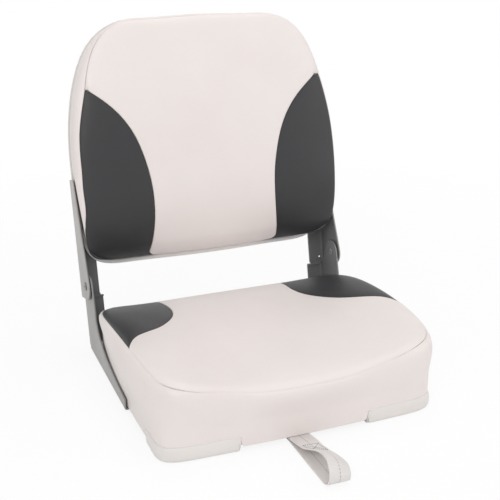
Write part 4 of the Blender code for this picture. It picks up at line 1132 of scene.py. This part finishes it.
# Middle line of the webbing: how far aside, along and up it runs, and how far it turns.
top = ANCHOR_HEIGHT - ANCHOR_CLEARANCE
below = top - STRAP_THICKNESS - LAYER_GAP
held = (STRAP_ANCHOR - HELD_HALF, STRAP_ANCHOR, STRAP_ANCHOR + HELD_HALF)
run = [*zip(strap_out, strap_rise, strap_turn), *zip(strap_back, strap_floor, [0] * 8)]
points = [*[(ahead, top, 0) for ahead in held],
          *[(share * STRAP_NOSE, rise * STRAP_CREST, turn) for share, rise, turn in run],
          *[(ahead, below, 0) for ahead in reversed(held)]]
stations = curve_through([Vector((turn * LEAN - STRAP_ASIDE, -ahead, height, turn))
                          for ahead, height, turn in points], 5)
lengths = [0.0]
for a, b in zip(stations, stations[1:]):
    lengths.append(lengths[-1] + (b - a).to_3d().length)


def on_strap(index, across, lift=0.0):
    """A point of the webbing, across metres from its middle, lifted off its face."""
    before, after = stations[max(index - 1, 0)], stations[min(index + 1, len(stations) - 1)]
    run = (after - before).to_3d()
    run.x = 0
    side = Matrix.Rotation(-stations[index].w * TURN, 3, run) @ Vector((1, 0, 0))
    up = run.cross(side).normalized()
    cup = CUP * (across / (STRAP_WIDTH / 2)) ** 2 * stations[index].w
    return stations[index].to_3d() + side * across + up * (lift - cup)


bm, numbers = grid(WEB_COLUMNS, len(stations) - 1)
weave = bm.loops.layers.uv.new("weave")
for polygon in bm.faces:
    for loop in polygon.loops:
        i, j = numbers[loop.vert]
        loop[weave].uv = (i / WEB_COLUMNS * STRAP_WIDTH, lengths[j])
for vert, (i, j) in numbers.items():
    vert.co = on_strap(j, (i / WEB_COLUMNS - 0.5) * STRAP_WIDTH)
webbing_loop = built("webbing_loop", bm, seat, webbing_finish())
thicken(webbing_loop, STRAP_THICKNESS, 0)
bm = bmesh.new()
bmesh.ops.create_cone(bm, cap_ends=True, segments=24, radius1=0.0027, radius2=0.0027, depth=0.03,
                      matrix=Matrix.Translation((-STRAP_ASIDE, -STRAP_ANCHOR, ANCHOR_HEIGHT)))
punch = built("punch", bm, seat)
hole = webbing_loop.modifiers.new("hole", "BOOLEAN")
hole.operation = "DIFFERENCE"
hole.object = punch
hole.solver = "EXACT"
holed = finished_mesh(webbing_loop)
webbing_loop.modifiers.clear()
webbing_loop.data = holed
bpy.data.objects.remove(punch)
bm = bmesh.new()
bm.from_mesh(holed)
sharp = [e for e in bm.edges if len(e.link_faces) == 2 and e.calc_face_angle(0) > 1.2]
bmesh.ops.bevel(bm, geom=sharp, offset=0.00035, segments=2, profile=0.5, affect="EDGES",
                material=-1)
bm.to_mesh(holed)
bm.free()
holed.shade_smooth()
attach(webbing_loop, "seat")
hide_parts("hold_down_strap")


STITCH_HALF_WIDTH = 0.00038
STITCH_HALF_HEIGHT = 0.00030
STITCH_LENGTH = 0.0026
BOX_HALF = 0.0105


def stitch(bm, start, end):
    """One stitch of thread, lying between two needle holes."""
    run, up = end - start, Vector((0, 0, 1))
    turned = Matrix((run.normalized(), run.cross(up).normalized(), up)).transposed().to_4x4()
    size = Matrix.Diagonal((run.length / 2, STITCH_HALF_WIDTH, STITCH_HALF_HEIGHT, 1))
    bmesh.ops.create_icosphere(bm, subdivisions=2, radius=1,
                               matrix=Matrix.Translation((start + end) / 2) @ turned @ size)


def sewn_box(first, last, half):
    """Stitches round a box on the upper run, between two stations, and across it twice."""
    bm = bmesh.new()
    run = range(first, last + 1)
    cross = [(index, half * (2 * (index - first) / (last - first) - 1)) for index in run]
    ends = [[(row, half * (2 * step / 8 - 1)) for step in range(9)] for row in (first, last)]
    for line in ([(index, -half) for index in run], [(index, half) for index in reversed(run)],
                 cross, [(index, -across) for index, across in cross], *ends):
        spots = [on_strap(index, across, STRAP_THICKNESS / 2 + 0.0001) for index, across in line]
        for a, b in zip(spots, spots[1:]):
            parts = max(1, round((b - a).length / STITCH_LENGTH))
            for part in range(parts):
                stitch(bm, a.lerp(b, (part + 0.1) / parts), a.lerp(b, (part + 0.9) / parts))
    return bm


def thread_finish():
    finish = Finish("grey_thread", (0.24, 0.235, 0.24), 0.65)
    strand = finish.noise(1400, 2)
    finish.feed(Base_Color=finish.blend(strand, (0.19, 0.185, 0.19, 1), (0.29, 0.285, 0.29, 1)))
    finish.relief(strand, 0.00012, 0.8)
    return finish.material


first, last = [min(range(len(stations) // 2), key=lambda n: abs(stations[n].y + ahead))
               for ahead in (0.205, 0.228)]
stitches = built("box_stitches", sewn_box(first, last, BOX_HALF), seat, thread_finish())
stitches.parent = webbing_loop


# ----------
# Brackets. Bent and punched sheet under a grey powder coat with a slight orange peel. The coat
# carries painted shade: dark on the faces within each pair, light on the outside and rear faces,
# and painted darker lower down, the seat's pair darker than the back's.

FLANGE_ALONG_BACK = 0.0398
FLANGE_UPRIGHT = 0.1945
REAR_FADE = 0.0014
REAR_FADE_UPRIGHT = 0.0012
SIDE_FADE_START = 0.0006
SIDE_FADE_END = 0.0019


def powder_coat_with_painted_shade(name, inside, foot, head, upright_foot):
    """Powder coat with painted shade: dark within the pair, which begins at inside, light on the
    outside and rear faces, and painted lighter from foot up to head.
    """
    finish = Finish(name, foot, 0.42)
    aside, behind, height = finish.axes(finish.place)
    aside = aside.through("ABSOLUTE")
    along_back = ((behind - PIVOT_BACK) * math.cos(RECLINE)
                  - (height - PIVOT_HEIGHT) * math.sin(RECLINE))
    rear = finish.ramp(along_back, FLANGE_ALONG_BACK, FLANGE_ALONG_BACK + REAR_FADE)
    if upright_foot:
        rear += finish.ramp(behind, FLANGE_UPRIGHT, FLANGE_UPRIGHT + REAR_FADE_UPRIGHT)
    peel = finish.noise(420, 2, 0.4)
    dust = finish.noise(24, 4, 0.6)
    speck = finish.ramp(finish.noise(900, 1), 0.68, 0.75)
    # Painted light and shade: the outside faces go from the foot colour low down to the lighter
    # head colour higher up.
    outer = finish.blend(finish.ramp(height, 0.10, 0.25), finish.colour, (*head, 1))
    outside = finish.ramp(aside, inside + SIDE_FADE_START, inside + SIDE_FADE_END)
    # Painted shade: the faces within the pair, away from the rear, get a dark grey in place of the
    # coat.
    painted_shade_tint = finish.blend(outside + rear, (0.150, 0.150, 0.152, 1), outer)
    darker_tone = finish.ramp(dust, 0.35, 0.7) * 0.3 + speck * 0.3
    finish.feed(Base_Color=finish.blend(darker_tone, painted_shade_tint, finish.blend(0.5, painted_shade_tint, (0.2, 0.2, 0.195, 1))),
                Roughness=dust * 0.14 + 0.35)
    finish.relief(peel, 0.00006, 0.5)
    return finish.material


# Painted shade: the seat's pair, lower down, gets darker colours than the back's pair.
dress(powder_coat_with_painted_shade("powder_coat_seat", 0.1960, (0.34, 0.335, 0.32), (0.40, 0.395, 0.38), True),
      "seat_bracket_left", "seat_bracket_right")
dress(powder_coat_with_painted_shade("powder_coat_back", 0.2006, (0.38, 0.37, 0.355), (0.52, 0.51, 0.49), False),
      "back_bracket_left", "back_bracket_right")


# ----------
# Rivets, screws and inserts. Zinc-plated steel rivets and pan-head tapping screws, a washer
# over the strap, and four brass inserts in the mounting pad.


def plated(name, colour, spot, roughness):
    finish = Finish(name, colour, roughness, 1.0)
    cloud = finish.noise(260, 4, 0.65)
    scratch = finish.noise(1800, 2, 0.7)
    finish.feed(Base_Color=finish.blend(finish.ramp(cloud, 0.35, 0.7), finish.colour, (*spot, 1)),
                Roughness=cloud * 0.18 + scratch * 0.08 + (roughness - 0.13))
    finish.relief(scratch, 0.00003, 0.5)
    return finish.material


steel = plated("zinc_plate", (0.62, 0.62, 0.61), (0.47, 0.47, 0.47), 0.34)
screws = [f"{tray}_screw_{word}_{number}" for tray in ("pan", "shell")
          for word in ("left", "right") for number in (1, 2, 3)]
dress(steel, "strap_screw", "strap_washer", *screws)
dress(plated("rivet_zinc", (0.32, 0.32, 0.32), (0.21, 0.21, 0.21), 0.38),
      "pivot_rivet_left", "pivot_rivet_right")
dress(plated("insert_brass", (0.66, 0.48, 0.22), (0.48, 0.33, 0.14), 0.36),
      *[f"mount_insert_{end}_{word}" for end in ("front", "rear") for word in ("left", "right")])
